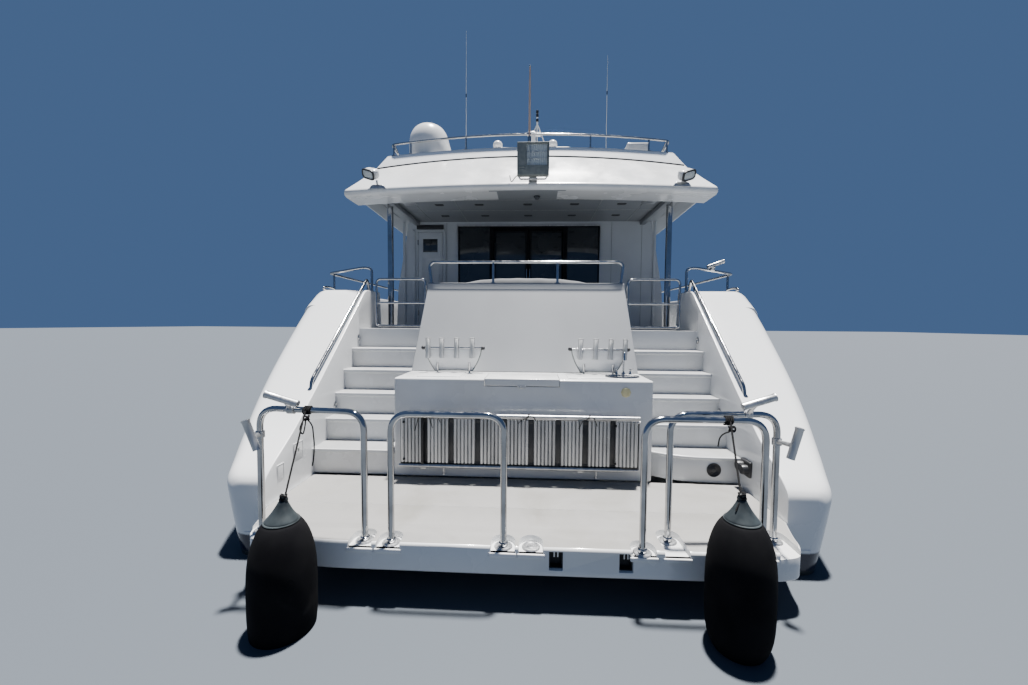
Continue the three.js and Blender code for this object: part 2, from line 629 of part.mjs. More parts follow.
// Stern gates, handrails on the wings beside the stairs, and the rails on the bulwarks
const STAIR_RAIL = { foot: [2310, -40], low: [2310, -20, 1420], head: [2335, 1530, 2690], end: [2335, 1610] };
const SIDE_RAIL = { height: 270, inset: 75, from: 1700, to: 19000, posts: 12, inner: 2330, start: 2880 };
for (const { side, sign } of SIDES) {
  const at = (x, z) => [sign * x, GATE.y, z];
  piece(`stern_gate_${side}`, join(
    pipe(bent([at(GATE.hinge, MAIN_DECK + SEAT), at(GATE.hinge, GATE.top), at(GATE.inner, GATE.top),
      at(GATE.inner, GATE.foot), at(GATE.hinge - 5, GATE.foot)], 60), GATE.tube),
    rod(at(GATE.inner, GATE.middle), at(GATE.hinge, GATE.middle), 12, 8)), 'steel');

  const { foot, low, head, end } = STAIR_RAIL;
  const handrail = pipe(bent([[...foot, 1250], low, head, [...end, CAP - 60]].map(([x, y, z]) => [sign * x, y, z]), 70),
    RAIL);
  piece(`stair_rail_${side}`, largest(handrail.subtract(shifted(wingForm, 0, 0, GAP))), 'steel');

  const railPoint = (y) => {
    const row = stationAt(y);
    return [sign * (row[SHEER_HALF] - SIDE_RAIL.inset), y, row[SHEER_Z] + SIDE_RAIL.height];
  };
  const places = [];
  for (let i = 0; i <= SIDE_RAIL.posts; i += 1) {
    places.push(SIDE_RAIL.from + ((SIDE_RAIL.to - SIDE_RAIL.from) * i) / SIDE_RAIL.posts);
  }
  const start = [[sign * SIDE_RAIL.inner, SIDE_RAIL.from + 30, CAP + GAP],
    [sign * SIDE_RAIL.inner, SIDE_RAIL.from, SIDE_RAIL.start], railPoint(SIDE_RAIL.from)];
  const last = railPoint(SIDE_RAIL.to);
  const landing = [last[0], last[1] + 100, last[2] - SIDE_RAIL.height + GAP];
  const along = places.slice(1, -1).map(railPoint);
  const route = [...bent([...start, along[0]], 100, 3).slice(0, -1), ...along, last, landing];
  let shape = pipe(route, RAIL);
  for (const y of [SIDE_RAIL.from + 150, ...places.slice(1, -1)]) {
    const [x, , z] = railPoint(y);
    shape = shape.add(rod([x, y, z], [x, y, z - SIDE_RAIL.height - 40], RAIL * 0.8, 8));
  }
  piece(`side_rail_${side}`, largest(shape.subtract(shifted(form, 0, 0, GAP))), 'steel');
}

// Deckhouse: half width of its outer skin by height
const HOUSE_SECTION = [[2640, MAIN_DECK + GAP], [2600, 2750], [2380, SOFFIT - GAP]];
const HOUSE_LEAN = (2600 - 2380) / (SOFFIT - 2750);
const houseHalf = (z) => 2600 - (z - 2750) * HOUSE_LEAN;
function housePrism(inset, y0, y1, rise) {
  const half = HOUSE_SECTION.map(([x, z], i) => [x - inset, i === 1 ? z : z + (i === 0 ? -rise : rise)]);
  return overY([...half, ...half.map(([x, z]) => [-x, z]).reverse()], y0, y1);
}
const houseShell = housePrism(0, HOUSE_AFT, HOUSE_FORE - GAP, 0).subtract(
  housePrism(HOUSE_WALL, HOUSE_AFT + HOUSE_WALL, HOUSE_FORE - HOUSE_WALL, 20));
const WINDOW = { from: 4600, to: 14600, foot: 2800, top: 3650 };

const SALOON_DOOR = { half: 700, foot: 1990, top: 3930, y: HOUSE_AFT + HOUSE_WALL + 7, thick: 40 };
const SIDE_DOOR = { outer: 2200, inner: 1700, foot: 2010, top: 3860 };

function aftBulkhead() {
  let wall = houseShell.intersect(box(-3000, 3000, HOUSE_AFT - 10, HOUSE_AFT + HOUSE_WALL, 0, 5000));
  wall = wall.add(box(-1420, 1420, HOUSE_AFT + HOUSE_WALL - 20, HOUSE_AFT + HOUSE_WALL + 60,
    MAIN_DECK + GAP, SALOON_DOOR.foot));
  wall = wall.subtract(box(-SALOON_DOOR.half, SALOON_DOOR.half, 3600, 3900, SALOON_DOOR.foot, SALOON_DOOR.top));
  for (const { sign } of SIDES) wall = wall.subtract(sideBox(sign, 770, 1340, 3600, 3900, 2060, 3870));
  return wall.subtract(sideBox(-1, SIDE_DOOR.inner, SIDE_DOOR.outer, 3600, 3900, SIDE_DOOR.foot, SIDE_DOOR.top));
}
piece('house_aft_bulkhead', aftBulkhead(), 'gelcoat');
piece('house_fore_bulkhead', houseShell.intersect(
  box(-3000, 3000, HOUSE_FORE - HOUSE_WALL, HOUSE_FORE, 0, 5000)), 'gelcoat');

for (const { side, sign } of SIDES) {
  const wall = houseShell.intersect(sideBox(sign, 1000, 3000, HOUSE_AFT + HOUSE_WALL + GAP,
    HOUSE_FORE - HOUSE_WALL - GAP, 0, 5000));
  piece(`house_side_${side}`, wall.subtract(
    sideBox(sign, 1000, 3000, WINDOW.from, WINDOW.to, WINDOW.foot, WINDOW.top)), 'gelcoat');
  const pane = [WINDOW.foot + GAP, WINDOW.top - GAP].map((z) => [houseHalf(z) - 20, z]);
  const back = pane.map(([x, z]) => [x - 16, z]).reverse();
  piece(`saloon_window_${side}`, overY([...pane, ...back].map(([x, z]) => [sign * x, z]),
    WINDOW.from + GAP, WINDOW.to - GAP), 'glass');
  const leaf = sideBox(sign, 3, 745, SALOON_DOOR.y, SALOON_DOOR.y + SALOON_DOOR.thick,
    SALOON_DOOR.foot + SEAT, SALOON_DOOR.top + 20);
  piece(`saloon_door_${side}`, leaf.subtract(sideBox(sign, 60, 690, 3700, 3900, 2090, 3860)), 'aluminium');
}

// Side door in the aft bulkhead, to port, turning on a pivot at its outboard edge
const DOOR_GAP = 6;
const sideDoorLeaf = box(-SIDE_DOOR.outer + DOOR_GAP, -SIDE_DOOR.inner - DOOR_GAP, HOUSE_AFT, HOUSE_AFT + 45,
  SIDE_DOOR.foot + DOOR_GAP, SIDE_DOOR.top - DOOR_GAP);
const sideDoorPivot = rod([-2186, 3708, SIDE_DOOR.foot + SEAT], [-2186, 3708, SIDE_DOOR.foot + 30], 7, 12);
piece('side_door', sideDoorLeaf.subtract(box(-2090, -1810, 3600, 3800, 2950, 3600)).add(sideDoorPivot), 'gelcoat');

// Boat deck over the saloon and the aft deck: sloping edges, a crowned lip and a low coaming aft
const DECK_EDGE = { half: 2900, foot: 4130, inner: 2460 };
const deckHalf = [[2770, 1950], [2880, 5300], [2900, 9000], [2880, 13000], [2780, HOUSE_FORE - GAP]];
const deckPlan = [...deckHalf, ...deckHalf.map(([x, y]) => [-x, y]).reverse()];
const deckSection = overY([
  [-DECK_EDGE.half, SOFFIT], [-DECK_EDGE.half, DECK_EDGE.foot], [-DECK_EDGE.inner, BOAT_DECK],
  [DECK_EDGE.inner, BOAT_DECK], [DECK_EDGE.half, DECK_EDGE.foot], [DECK_EDGE.half, SOFFIT]],
1900, HOUSE_FORE);
const crown = (half, edge, centre, count = 8) => {
  const points = [];
  for (let i = 0; i <= count; i += 1) {
    const t = (2 * i) / count - 1;
    points.push([half * t, centre - (centre - edge) * t * t]);
  }
  return points;
};
const LIP = { aft: 1760, nose: 4120, back: 2370, head: 4760, fore: 2480, foot: 2270 };
const lip = overY([...crown(2770, 3965, 4045), [2740, 4120], ...crown(2490, 4580, 4750).reverse(),
  [-2740, 4120]], LIP.aft, LIP.fore).intersect(
  overX([[LIP.aft, 3900], [LIP.aft, LIP.nose], [LIP.back, LIP.head], [LIP.fore, LIP.head],
    [LIP.fore, SOFFIT + 1], [LIP.foot, SOFFIT + 1], [LIP.foot, 3900]], -3000, 3000));
const coaming = overY([...crown(2345, 4835, 4953).reverse(), [-2480, 4550], [2480, 4550]], LIP.back, 2530).intersect(
  overX([[2374, 4500], [2374, 4760], [2450, 4960], [2520, 4960], [2520, 4500]], -3000, 3000));

// What stands on the boat deck: the stern floodlight on its arm, the flagstaff, a locker, and the
// flybridge's helm console, settee and bar
const floodlight = join(box(-144, 319, 1590, 1720, 4190, 4655), box(60, 110, 1700, 1900, 4200, 4260));
const flagstaff = rod([20, 2396, 4850], [20, 2372, 6190], 18, 10);
const deckLocker = box(1710, 2040, 2850, 3150, BOAT_DECK - 20, 5160);
const flyHelm = overX([[13350, BOAT_DECK - 20], [13350, 5350], [13500, 5480], [13950, 5560], [14300, 5350],
  [14300, BOAT_DECK - 20]], -950, 950);
const flySettee = join(
  box(-2200, -1620, 8600, 12200, BOAT_DECK - 20, 5000), box(-2200, -2050, 8600, 12200, 4900, 5380),
  box(-1650, -700, 11650, 12200, BOAT_DECK - 20, 5000), box(-1650, -700, 12080, 12200, 4900, 5380));
const flyBar = box(1600, 2200, 8600, 11000, BOAT_DECK - 20, 5480);
const boatDeck = join(overZ(deckPlan, SOFFIT, BOAT_DECK).intersect(deckSection), lip, coaming, floodlight,
  flagstaff, deckLocker, flyHelm, flySettee, flyBar);
piece('boat_deck', boatDeck, 'gelcoat');

for (const { side, sign } of SIDES) {
  piece(`pillar_${side}`, rod([sign * 2290, 2400, MAIN_DECK + GAP], [sign * 2290, 2400, SOFFIT - GAP], 48, 16), 'gelcoat');
}

// Low rail along the aft edge of the boat deck, standing on the coaming
const railTop = (x) => 5175 - 145 * (x / 2320) ** 2;
const railXs = [-2255, -1965, -1035, 0, 1020, 1965, 2255];
const AFT_RAIL_Y = 2485;
const RAIL_FOOT = 4700;
let deckRail = pipe([[-2275, AFT_RAIL_Y, RAIL_FOOT], ...railXs.map((x) => [x, AFT_RAIL_Y, railTop(x)]),
  [2275, AFT_RAIL_Y, RAIL_FOOT]], 17);
for (const x of railXs.slice(1, -1)) {
  deckRail = deckRail.add(rod([x, AFT_RAIL_Y, RAIL_FOOT], [x, AFT_RAIL_Y, railTop(x)], 13, 8));
}
deckRail = deckRail.subtract(shifted(boatDeck, 0, 0, GAP));
piece('boat_deck_rail', deckRail, 'steel');

// Pilothouse: hollow, raised on the foredeck's level, with a raked front
const PILOT = { half: 2150, door: { from: 16900, to: 17560, foot: 3030, top: 4950 } };
const pilotPlan = (inset) => {
  const half = [[PILOT.half - inset, HOUSE_FORE + GAP + inset], [PILOT.half - inset, 17600 - inset / 2],
    [1950 - inset, 18900 - inset / 2], [1300 - inset / 2, 19650 - inset], [0, 19900 - inset]];
  return [...half, ...half.slice(0, -1).reverse().map(([x, y]) => [-x, y])];
};
const pilotProfile = (inset) => [
  [15400, FOREDECK + GAP - inset], [15400, PILOT_ROOF - inset], [17400 - inset * 0.5, PILOT_ROOF - inset],
  [19100 - inset * 0.7, 4200 - inset], [20100, 4120 - inset], [20100, FOREDECK + GAP - inset]];
const DASH = { half: 1100, aft: 17500, low: 3950, fore: 18200, high: 4050 };
const pilotOuter = overZ(pilotPlan(0), 2900, 5500).intersect(overX(pilotProfile(0), -2300, 2300));
const pilotInner = overZ(pilotPlan(PILOT_WALL), 2900, 5500).intersect(
  overX(pilotProfile(PILOT_WALL), -2300, 2300)).subtract(
  box(-DASH.half, DASH.half, DASH.aft, 21000, 2900, DASH.low)).subtract(
  box(-3000, 3000, DASH.fore, 21000, 2900, DASH.high));
const rakeSlope = (PILOT_ROOF - 4200) / (19100 - 17400);
const onRake = (y, off) => [y + off, 4200 + (19100 - y) * rakeSlope + off];
const rakeSlab = (from, to, bottom, top, half) => overX([
  onRake(from, bottom), onRake(to, bottom), onRake(to, top), onRake(from, top)], -half, half);
const SCREEN = { from: 17600, to: 18880, half: 1690, bed: -14, top: -4 };

function pilothouse() {
  let shape = pilotOuter.subtract(pilotInner);
  for (const [x0, x1] of [[-1640, -560], [-500, 500], [560, 1640]]) {
    const middle = (x0 + x1) / 2;
    shape = shape.subtract(shifted(rakeSlab(17650, 18830, -110, 60, (x1 - x0) / 2), middle, 0, 0));
  }
  for (const { sign } of SIDES) {
    const { from, to, foot, top } = PILOT.door;
    shape = shape.subtract(sideBox(sign, 1900, 2300, from, to, foot, top));
    shape = shape.subtract(sideBox(sign, 1900, 2300, 15750, 16750, 4250, 5080));
    const quarter = [[17720, 4250], [17720, 4940], [18450, 4440], [18450, 4250]];
    shape = shape.subtract(overX(quarter, sign > 0 ? 1700 : -2300, sign > 0 ? 2300 : -1700));
  }
  return shape;
}
const { from: screenFrom, to: screenTo, half: screenHalf, bed, top: screenTop } = SCREEN;
const screenBed = rakeSlab(screenFrom, screenTo, bed, 60, screenHalf);
piece('pilothouse', pilothouse().subtract(screenBed), 'gelcoat');
piece('windscreen', rakeSlab(screenFrom + 1, screenTo - 1, bed + GAP, screenTop, screenHalf - GAP), 'glass');

// Pilothouse doors turn about their forward edges
for (const { side, sign } of SIDES) {
  const { from, to, foot, top } = PILOT.door;
  let leaf = sideBox(sign, PILOT.half - 45, PILOT.half, from + DOOR_GAP, to - DOOR_GAP, foot + DOOR_GAP, top - DOOR_GAP);
  leaf = leaf.subtract(sideBox(sign, 1900, 2300, from + 120, to - 120, 4000, 4800));
  const pivot = [sign * (PILOT.half - 8), to - 14];
  leaf = leaf.add(rod([...pivot, foot + SEAT], [...pivot, foot + 30], 7, 12));
  piece(`pilothouse_door_${side}`, leaf, 'gelcoat');
}
piece('foredeck_trunk', overZ([[-1300, 20600], [1300, 20600], [1050, 23600], [700, 24200], [-700, 24200],
  [-1050, 23600]], FOREDECK + GAP, 3480), 'gelcoat');

// Flybridge sides with the legs of the arch, the hardtop, and the mast
const flybridgeSide = [
  [6000, BOAT_DECK + GAP], [6600, 5150], [8300, 5350], [7600, HARDTOP], [8900, HARDTOP], [10200, 5350],
  [15000, 5420], [HOUSE_FORE - GAP, 5300], [HOUSE_FORE - GAP, BOAT_DECK + GAP]];
const FLY_SIDE = 2320;
for (const { side, sign } of SIDES) {
  const inner = sign > 0 ? FLY_SIDE : -FLY_SIDE - 90;
  piece(`flybridge_side_${side}`, overX(flybridgeSide, inner, inner + 90), 'gelcoat');
}
const hardtopPlan = [[-2450, 7200], [2450, 7200], [2720, 7600], [2720, 12400], [2300, 13200], [-2300, 13200],
  [-2720, 12400], [-2720, 7600]];
const HARDTOP_TOP = HARDTOP + 160;
const whip = (x, top) => rod([x, 9500, HARDTOP_TOP - 20], [x, 9500, top], 12, 8);
piece('hardtop', join(overZ(hardtopPlan, HARDTOP + GAP, HARDTOP_TOP), whip(-2220, 11800), whip(2480, 10900)),
  'gelcoat');

const MAST_FOOT = HARDTOP_TOP + GAP;
const mastBlade = overX([[9300, MAST_FOOT], [9150, 8350], [9600, 8350], [10400, 7300], [11420, 7300],
  [11420, 7220], [10600, MAST_FOOT]], -130, 130);
const crossbar = box(-1250, 1250, 9250, 9500, 8050, 8140);
const lightPole = rod([180, 9400, 8340], [180, 9400, 9120], 30, 10);
const smallDome = (x, foot) => turned([
  [0, foot], [95, foot], [150, foot + 60], [160, foot + 130], [120, foot + 220], [60, foot + 260],
  [0, foot + 270]], x, 9375, 16);
piece('mast', join(mastBlade, crossbar, box(60, 300, 9300, 9500, 8300, 8380), lightPole, smallDome(-1130, 8120),
  smallDome(700, 8120)), 'gelcoat');
const RADAR = { y: 11300, foot: 7300 + SEAT, half: 850 };
piece('radar_scanner', join(
  rod([0, RADAR.y, RADAR.foot], [0, RADAR.y, RADAR.foot + 180], 90, 16),
  box(-RADAR.half, RADAR.half, RADAR.y - 60, RADAR.y + 60, RADAR.foot + 120, RADAR.foot + 240)), 'gelcoat');

piece('satellite_dome', turned([
  [0, BOAT_DECK + GAP], [170, BOAT_DECK + GAP], [170, 4960], [300, 5010], [325, 5200], [305, 5340], [240, 5470],
  [130, 5545], [0, 5565]], -1750, 2820), 'gelcoat');

export default yacht;
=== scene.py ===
"""Looks of a 31 m motor yacht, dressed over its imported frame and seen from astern."""

import bpy
import math
from mathutils import Matrix, Vector


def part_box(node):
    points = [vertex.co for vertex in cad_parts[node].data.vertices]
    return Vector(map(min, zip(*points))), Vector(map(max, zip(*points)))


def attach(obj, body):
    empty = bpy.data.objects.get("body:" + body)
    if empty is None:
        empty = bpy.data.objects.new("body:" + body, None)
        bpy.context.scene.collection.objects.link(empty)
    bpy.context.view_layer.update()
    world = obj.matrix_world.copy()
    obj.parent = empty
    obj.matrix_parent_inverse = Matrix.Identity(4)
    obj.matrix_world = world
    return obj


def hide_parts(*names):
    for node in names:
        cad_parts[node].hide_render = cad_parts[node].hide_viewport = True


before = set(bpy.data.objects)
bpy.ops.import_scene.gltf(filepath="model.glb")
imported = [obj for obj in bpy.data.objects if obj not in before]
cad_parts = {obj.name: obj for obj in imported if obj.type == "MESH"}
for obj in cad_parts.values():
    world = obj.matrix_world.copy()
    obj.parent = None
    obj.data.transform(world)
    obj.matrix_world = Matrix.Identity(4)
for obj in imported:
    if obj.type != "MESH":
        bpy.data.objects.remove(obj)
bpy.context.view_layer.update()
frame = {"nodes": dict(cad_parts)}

SIDES = (("port", -1), ("starboard", 1))

# Heights and places that the hull, decks and houses share
PLATFORM_TOP, PLATFORM_FOOT = 0.45, 0.215
MAIN_DECK, FOREDECK = 1.97, 3.0
SOFFIT, BOAT_DECK = 4.05, 4.57
DECK_AFT, HOUSE_FORE = 1.1, 15.5
BULWARK = 0.13

# Camera

VIEW_FROM = (0.11, -4.27, 2.06)
YAW, PITCH, ROLL = 2.72, -2.79, 0.43
FOCAL_PX, WIDE_PX, SENSOR = 400, 1028, 36


def turned(degrees, axis):
    return Matrix.Rotation(math.radians(degrees), 4, axis)


def set_camera():
    bpy.ops.object.camera_add()
    camera = bpy.context.object
    camera.matrix_world = (Matrix.Translation(VIEW_FROM) @ turned(YAW, "Z") @ turned(90 + PITCH, "X")
                           @ turned(ROLL, "Z"))
    camera.data.sensor_width = SENSOR
    camera.data.lens = SENSOR * FOCAL_PX / WIDE_PX
    camera.data.clip_end = 400
    bpy.context.scene.camera = camera


set_camera()

# Finishes, all on Object coordinates

FINISHES = {}


class Finish:
    """A procedural finish that grows from one shader."""

    def __init__(self, name, slot, colour, rough, metal=0.0, **sockets):
        self.material = bpy.data.materials.new(name)
        self.material.use_nodes = True
        self.nodes = self.material.node_tree.nodes
        self.links = self.material.node_tree.links
        self.shader = self.nodes["Principled BSDF"]
        self.set("Base Color", (*colour, 1))
        self.set("Roughness", rough)
        self.set("Metallic", metal)
        for socket, value in sockets.items():
            self.set(socket.replace("_", " "), value)
        self.place = self.nodes.new("ShaderNodeTexCoord").outputs["Object"]
        self.normal = None
        FINISHES[name] = self.material

    def set(self, socket, value):
        self.shader.inputs[socket].default_value = value

    def join(self, output, socket):
        self.links.new(output, socket)

    def mapped(self, stretch=(1, 1, 1), turn=(0, 0, 0)):
        node = self.nodes.new("ShaderNodeMapping")
        node.inputs["Scale"].default_value = stretch
        node.inputs["Rotation"].default_value = turn
        self.join(self.place, node.inputs["Vector"])
        return node.outputs["Vector"]

    def noise(self, scale, detail=3.0, stretch=(1, 1, 1), distortion=0.0):
        node = self.nodes.new("ShaderNodeTexNoise")
        node.inputs["Scale"].default_value = scale
        node.inputs["Detail"].default_value = detail
        node.inputs["Distortion"].default_value = distortion
        self.join(self.mapped(stretch), node.inputs["Vector"])
        return node.outputs["Fac"]

    def cells(self, scale):
        node = self.nodes.new("ShaderNodeTexVoronoi")
        node.inputs["Scale"].default_value = scale
        self.join(self.mapped(), node.inputs["Vector"])
        return node.outputs["Distance"]

    def bands(self, scale, direction="X", turn=(0, 0, 0)):
        node = self.nodes.new("ShaderNodeTexWave")
        node.bands_direction = direction
        node.inputs["Scale"].default_value = scale
        self.join(self.mapped(turn=turn), node.inputs["Vector"])
        return node.outputs["Fac"]

    def combined(self, a, b, how="MULTIPLY"):
        node = self.nodes.new("ShaderNodeMath")
        node.operation = how
        self.join(a, node.inputs[0])
        self.join(b, node.inputs[1])
        return node.outputs[0]

    def axis(self, which):
        node = self.nodes.new("ShaderNodeSeparateXYZ")
        self.join(self.place, node.inputs[0])
        return node.outputs[which]

    def tints(self, fac, *stops):
        """Colours along a 0 to 1 value: (place, colour) pairs."""
        node = self.nodes.new("ShaderNodeValToRGB")
        while len(node.color_ramp.elements) < len(stops):
            node.color_ramp.elements.new(0.5)
        for element, (place, colour) in zip(node.color_ramp.elements, stops):
            element.position = place
            element.color = (*colour, 1)
        self.join(fac, node.inputs["Fac"])
        self.join(node.outputs["Color"], self.shader.inputs["Base Color"])

    def spread(self, fac, socket, low, high, start=0.3, end=0.7):
        node = self.nodes.new("ShaderNodeMapRange")
        for key, value in (("From Min", start), ("From Max", end), ("To Min", low), ("To Max", high)):
            node.inputs[key].default_value = value
        self.join(fac, node.inputs["Value"])
        if socket:
            self.join(node.outputs["Result"], self.shader.inputs[socket])
        return node.outputs["Result"]

    def bump(self, height, strength, depth):
        node = self.nodes.new("ShaderNodeBump")
        node.inputs["Strength"].default_value = strength
        node.inputs["Distance"].default_value = depth
        self.join(height, node.inputs["Height"])
        if self.normal:
            self.join(self.normal, node.inputs["Normal"])
        self.normal = node.outputs["Normal"]
        self.join(self.normal, self.shader.inputs["Normal"])


WHITE, WORN = (0.67, 0.68, 0.685), (0.6, 0.6, 0.59)

# Finishes made of noises alone. Each row: name, slot, colour, roughness, metal and other sockets; then
# the noise and stops of its tints, the noise and range of its roughness, and (noise, strength, depth) of
# each bump
NOISE_FINISHES = [
    ("gelcoat", "gelcoat", WHITE, 0.2, 0.0, {"Coat_Weight": 0.25, "Coat_Roughness": 0.08},
     (1.3, 5), ((0.42, WHITE), (0.68, WORN)), ((3.0, 4), 0.14, 0.34), [((420, 2), 0.05, 0.0006)]),
    ("cream_plastic", "gelcoat", (0.72, 0.66, 0.36), 0.45, 0.0, {},
     (30, 3), ((0.3, (0.74, 0.68, 0.38)), (0.75, (0.6, 0.53, 0.28))), None, [((500, 2), 0.15, 0.0004)]),
    ("polished_steel", "polished_steel", (0.5, 0.51, 0.53), 0.12, 1.0, {},
     (7, 5), ((0.35, (0.46, 0.465, 0.475)), (0.75, (0.32, 0.32, 0.32))), ((24, 5), 0.06, 0.2),
     [((160, 2), 0.03, 0.0005)]),
    ("brushed_alloy", "alloy", (0.5, 0.51, 0.52), 0.34, 0.85, {},
     (14, 5, (1, 1, 0.12)), ((0.3, (0.56, 0.565, 0.57)), (0.75, (0.34, 0.345, 0.35))),
     ((60, 4, (1, 1, 0.06)), 0.26, 0.46), [((240, 2, (1, 1, 0.04)), 0.12, 0.0004)]),
    ("dark_frame", "dark_frame", (0.02, 0.021, 0.024), 0.35, 0.3, {},
     (11, 4), ((0.3, (0.018, 0.019, 0.022)), (0.8, (0.045, 0.045, 0.047))), ((40, 4), 0.28, 0.5),
     [((500, 2), 0.1, 0.0004)]),
    ("dark_profile", "dark_frame", (0.006, 0.0065, 0.008), 0.6, 0.0, {"Specular_IOR_Level": 0.12},
     (12, 4), ((0.3, (0.005, 0.0055, 0.007)), (0.8, (0.012, 0.012, 0.013))), None,
     [((400, 2), 0.1, 0.0004)]),
    ("cover_cloth", "cushion", (0.13, 0.135, 0.14), 0.8, 0.0, {"Specular_IOR_Level": 0.2},
     (4, 5), ((0.35, (0.14, 0.145, 0.15)), (0.8, (0.1, 0.1, 0.105))), None, [((7, 4), 0.3, 0.008)]),
    ("grey_casting", "dark_frame", (0.16, 0.18, 0.17), 0.55, 0.2, {},
     (18, 5), ((0.3, (0.15, 0.17, 0.165)), (0.8, (0.24, 0.25, 0.23))), None, [((260, 3), 0.25, 0.0006)]),
    ("bronze", "bronze", (0.6, 0.42, 0.17), 0.35, 1.0, {},
     (5, 6), ((0.35, (0.62, 0.44, 0.19)), (0.6, (0.4, 0.27, 0.12)), (0.8, (0.2, 0.3, 0.22))),
     ((12, 5), 0.25, 0.6), [((90, 4), 0.15, 0.001)]),
    ("tinted_glass", "tinted_glass", (0.30, 0.34, 0.36), 0.03, 0.0, {"IOR": 1.5, "Transmission_Weight": 1.0},
     None, None, ((2.5, 3), 0.01, 0.05), []),
    ("black_glass", "tinted_glass", (0.012, 0.015, 0.019), 0.05, 0.0, {"IOR": 1.5, "Coat_Weight": 0.5},
     (0.9, 3), ((0.35, (0.010, 0.013, 0.017)), (0.75, (0.03, 0.036, 0.042))), ((2.0, 4), 0.03, 0.12),
     [((1.2, 1), 0.04, 0.004)]),
    ("fender_rubber", "fender_cover", (0.06, 0.07, 0.075), 0.4, 0.0, {"Specular_IOR_Level": 0.3},
     (9, 5), ((0.3, (0.013, 0.017, 0.02)), (0.75, (0.042, 0.052, 0.056))), ((20, 4), 0.3, 0.6),
     [((60, 4), 0.2, 0.001)]),
    ("black_rubber", "fender_cover", (0.015, 0.015, 0.016), 0.6, 0.0, {},
     (25, 4), ((0.3, (0.006, 0.006, 0.007)), (0.8, (0.02, 0.02, 0.02))), None, [((200, 3), 0.3, 0.0008)]),
]
# Flat finishes with light and shade painted in: the white soffit, bulkhead and transom panel get darker greys for
# painted shade, and the coaming a brighter white for painted sunlight
NOISE_FINISHES += [
    (name, "gelcoat", colour, 0.5, 0.0, {},
     (1.4, 4), ((0.4, colour), (0.8, tuple(0.88 * value for value in colour))), None,
     [((300, 2), 0.05, 0.0005)])
    for name, colour in (("soffit_painted_shade", (0.22, 0.235, 0.25)), ("bulkhead_painted_shade", (0.45, 0.47, 0.49)),
                         ("transom_panel_painted_shade", (0.27, 0.28, 0.293)), ("coaming_painted_light", (0.86, 0.87, 0.88)))]

# The bottom paint, the boot line and the white above them, by height from half a metre under the waterline
BOTTOM, SCUM, BOOT = (0.035, 0.04, 0.05), (0.05, 0.052, 0.045), (0.008, 0.011, 0.03)


def make_finishes():
    for name, slot, colour, rough, metal, sockets, noise, stops, roughness, bumps in NOISE_FINISHES:
        made = Finish(name, slot, colour, rough, metal, **sockets)
        if stops:
            made.tints(made.noise(*noise), *stops)
        if roughness:
            made.spread(made.noise(*roughness[0]), "Roughness", *roughness[1:])
        for grain, strength, depth in bumps:
            made.bump(made.noise(*grain), strength, depth)

    hull = Finish("hull_paint", "gelcoat", WHITE, 0.2, Coat_Weight=0.3, Coat_Roughness=0.06)
    level = hull.combined(hull.axis("Z"), hull.spread(hull.noise(2.2, 5), None, -0.006, 0.006), "ADD")
    hull.tints(hull.spread(level, None, 0.0, 1.0, -0.5, 1.5), (0.0, BOTTOM), (0.262, SCUM), (0.275, BOOT),
               (0.342, BOOT), (0.346, WHITE), (0.9, WHITE))
    hull.spread(hull.noise(1.1, 5), "Roughness", 0.14, 0.32)
    hull.bump(hull.noise(380, 2), 0.04, 0.0006)

    for name, colour, dirt in (("deck_grip", (0.3, 0.305, 0.31), (0.24, 0.235, 0.22)),
                               ("platform_grip", (0.235, 0.23, 0.222), (0.175, 0.168, 0.148))):
        grip = Finish(name, "gelcoat", colour, 0.6)
        grip.tints(grip.noise(1.7, 6, distortion=0.6), (0.5, colour), (0.82, dirt))
        grip.spread(grip.noise(9, 4), "Roughness", 0.5, 0.72)
        grip.bump(grip.cells(260), 0.5, 0.0012)

    lens = Finish("lamp_lens", "tinted_glass", (0.55, 0.58, 0.57), 0.16, IOR=1.45, Coat_Weight=0.6)
    # Stripes lighter on the ribs' crests and darker in their troughs: painted light and shade on the ribs.
    lens.tints(lens.bands(26, "X"), (0.2, (0.34, 0.37, 0.36)), (0.8, (0.66, 0.69, 0.68)))
    lens.bump(lens.bands(26, "X"), 0.4, 0.002)

    cloth = Finish("fender_cloth", "fender_cover", (0.003, 0.003, 0.004), 0.95, Specular_IOR_Level=0.08)
    weave = cloth.combined(cloth.bands(170, "Z"), cloth.bands(170, "X", (0, 0, 0.8)))
    cloth.tints(cloth.noise(4, 6), (0.35, (0.003, 0.003, 0.004)), (0.62, (0.007, 0.007, 0.008)),
                (0.85, (0.03, 0.028, 0.026)))
    cloth.bump(weave, 0.6, 0.0012)
    cloth.bump(cloth.noise(6, 4), 0.3, 0.01)

    cord = Finish("black_cord", "fender_cover", (0.004, 0.004, 0.005), 0.85, Specular_IOR_Level=0.15)
    # Diagonal stripes darker in the cord's grooves: painted shade in the lay.
    cord.tints(cord.bands(150, "DIAGONAL"), (0.2, (0.003, 0.003, 0.004)), (0.9, (0.02, 0.02, 0.021)))
    cord.bump(cord.bands(150, "DIAGONAL"), 0.8, 0.002)

    vinyl = Finish("cushion_vinyl", "cushion", (0.47, 0.47, 0.46), 0.6, Sheen_Weight=0.1)
    vinyl.tints(vinyl.noise(3, 5), (0.35, (0.5, 0.5, 0.49)), (0.8, (0.38, 0.38, 0.37)))
    vinyl.bump(vinyl.cells(420), 0.35, 0.0008)
    vinyl.bump(vinyl.noise(5, 4), 0.2, 0.006)

    wood = Finish("varnished_wood", "dark_frame", (0.22, 0.12, 0.06), 0.3, Coat_Weight=0.6)
    grain = wood.noise(26, 6, (1, 1, 0.06), 0.8)
    wood.tints(grain, (0.3, (0.6, 0.43, 0.34)), (0.7, (0.42, 0.28, 0.2)))
    wood.bump(grain, 0.15, 0.0006)


make_finishes()

# Tools for making pieces

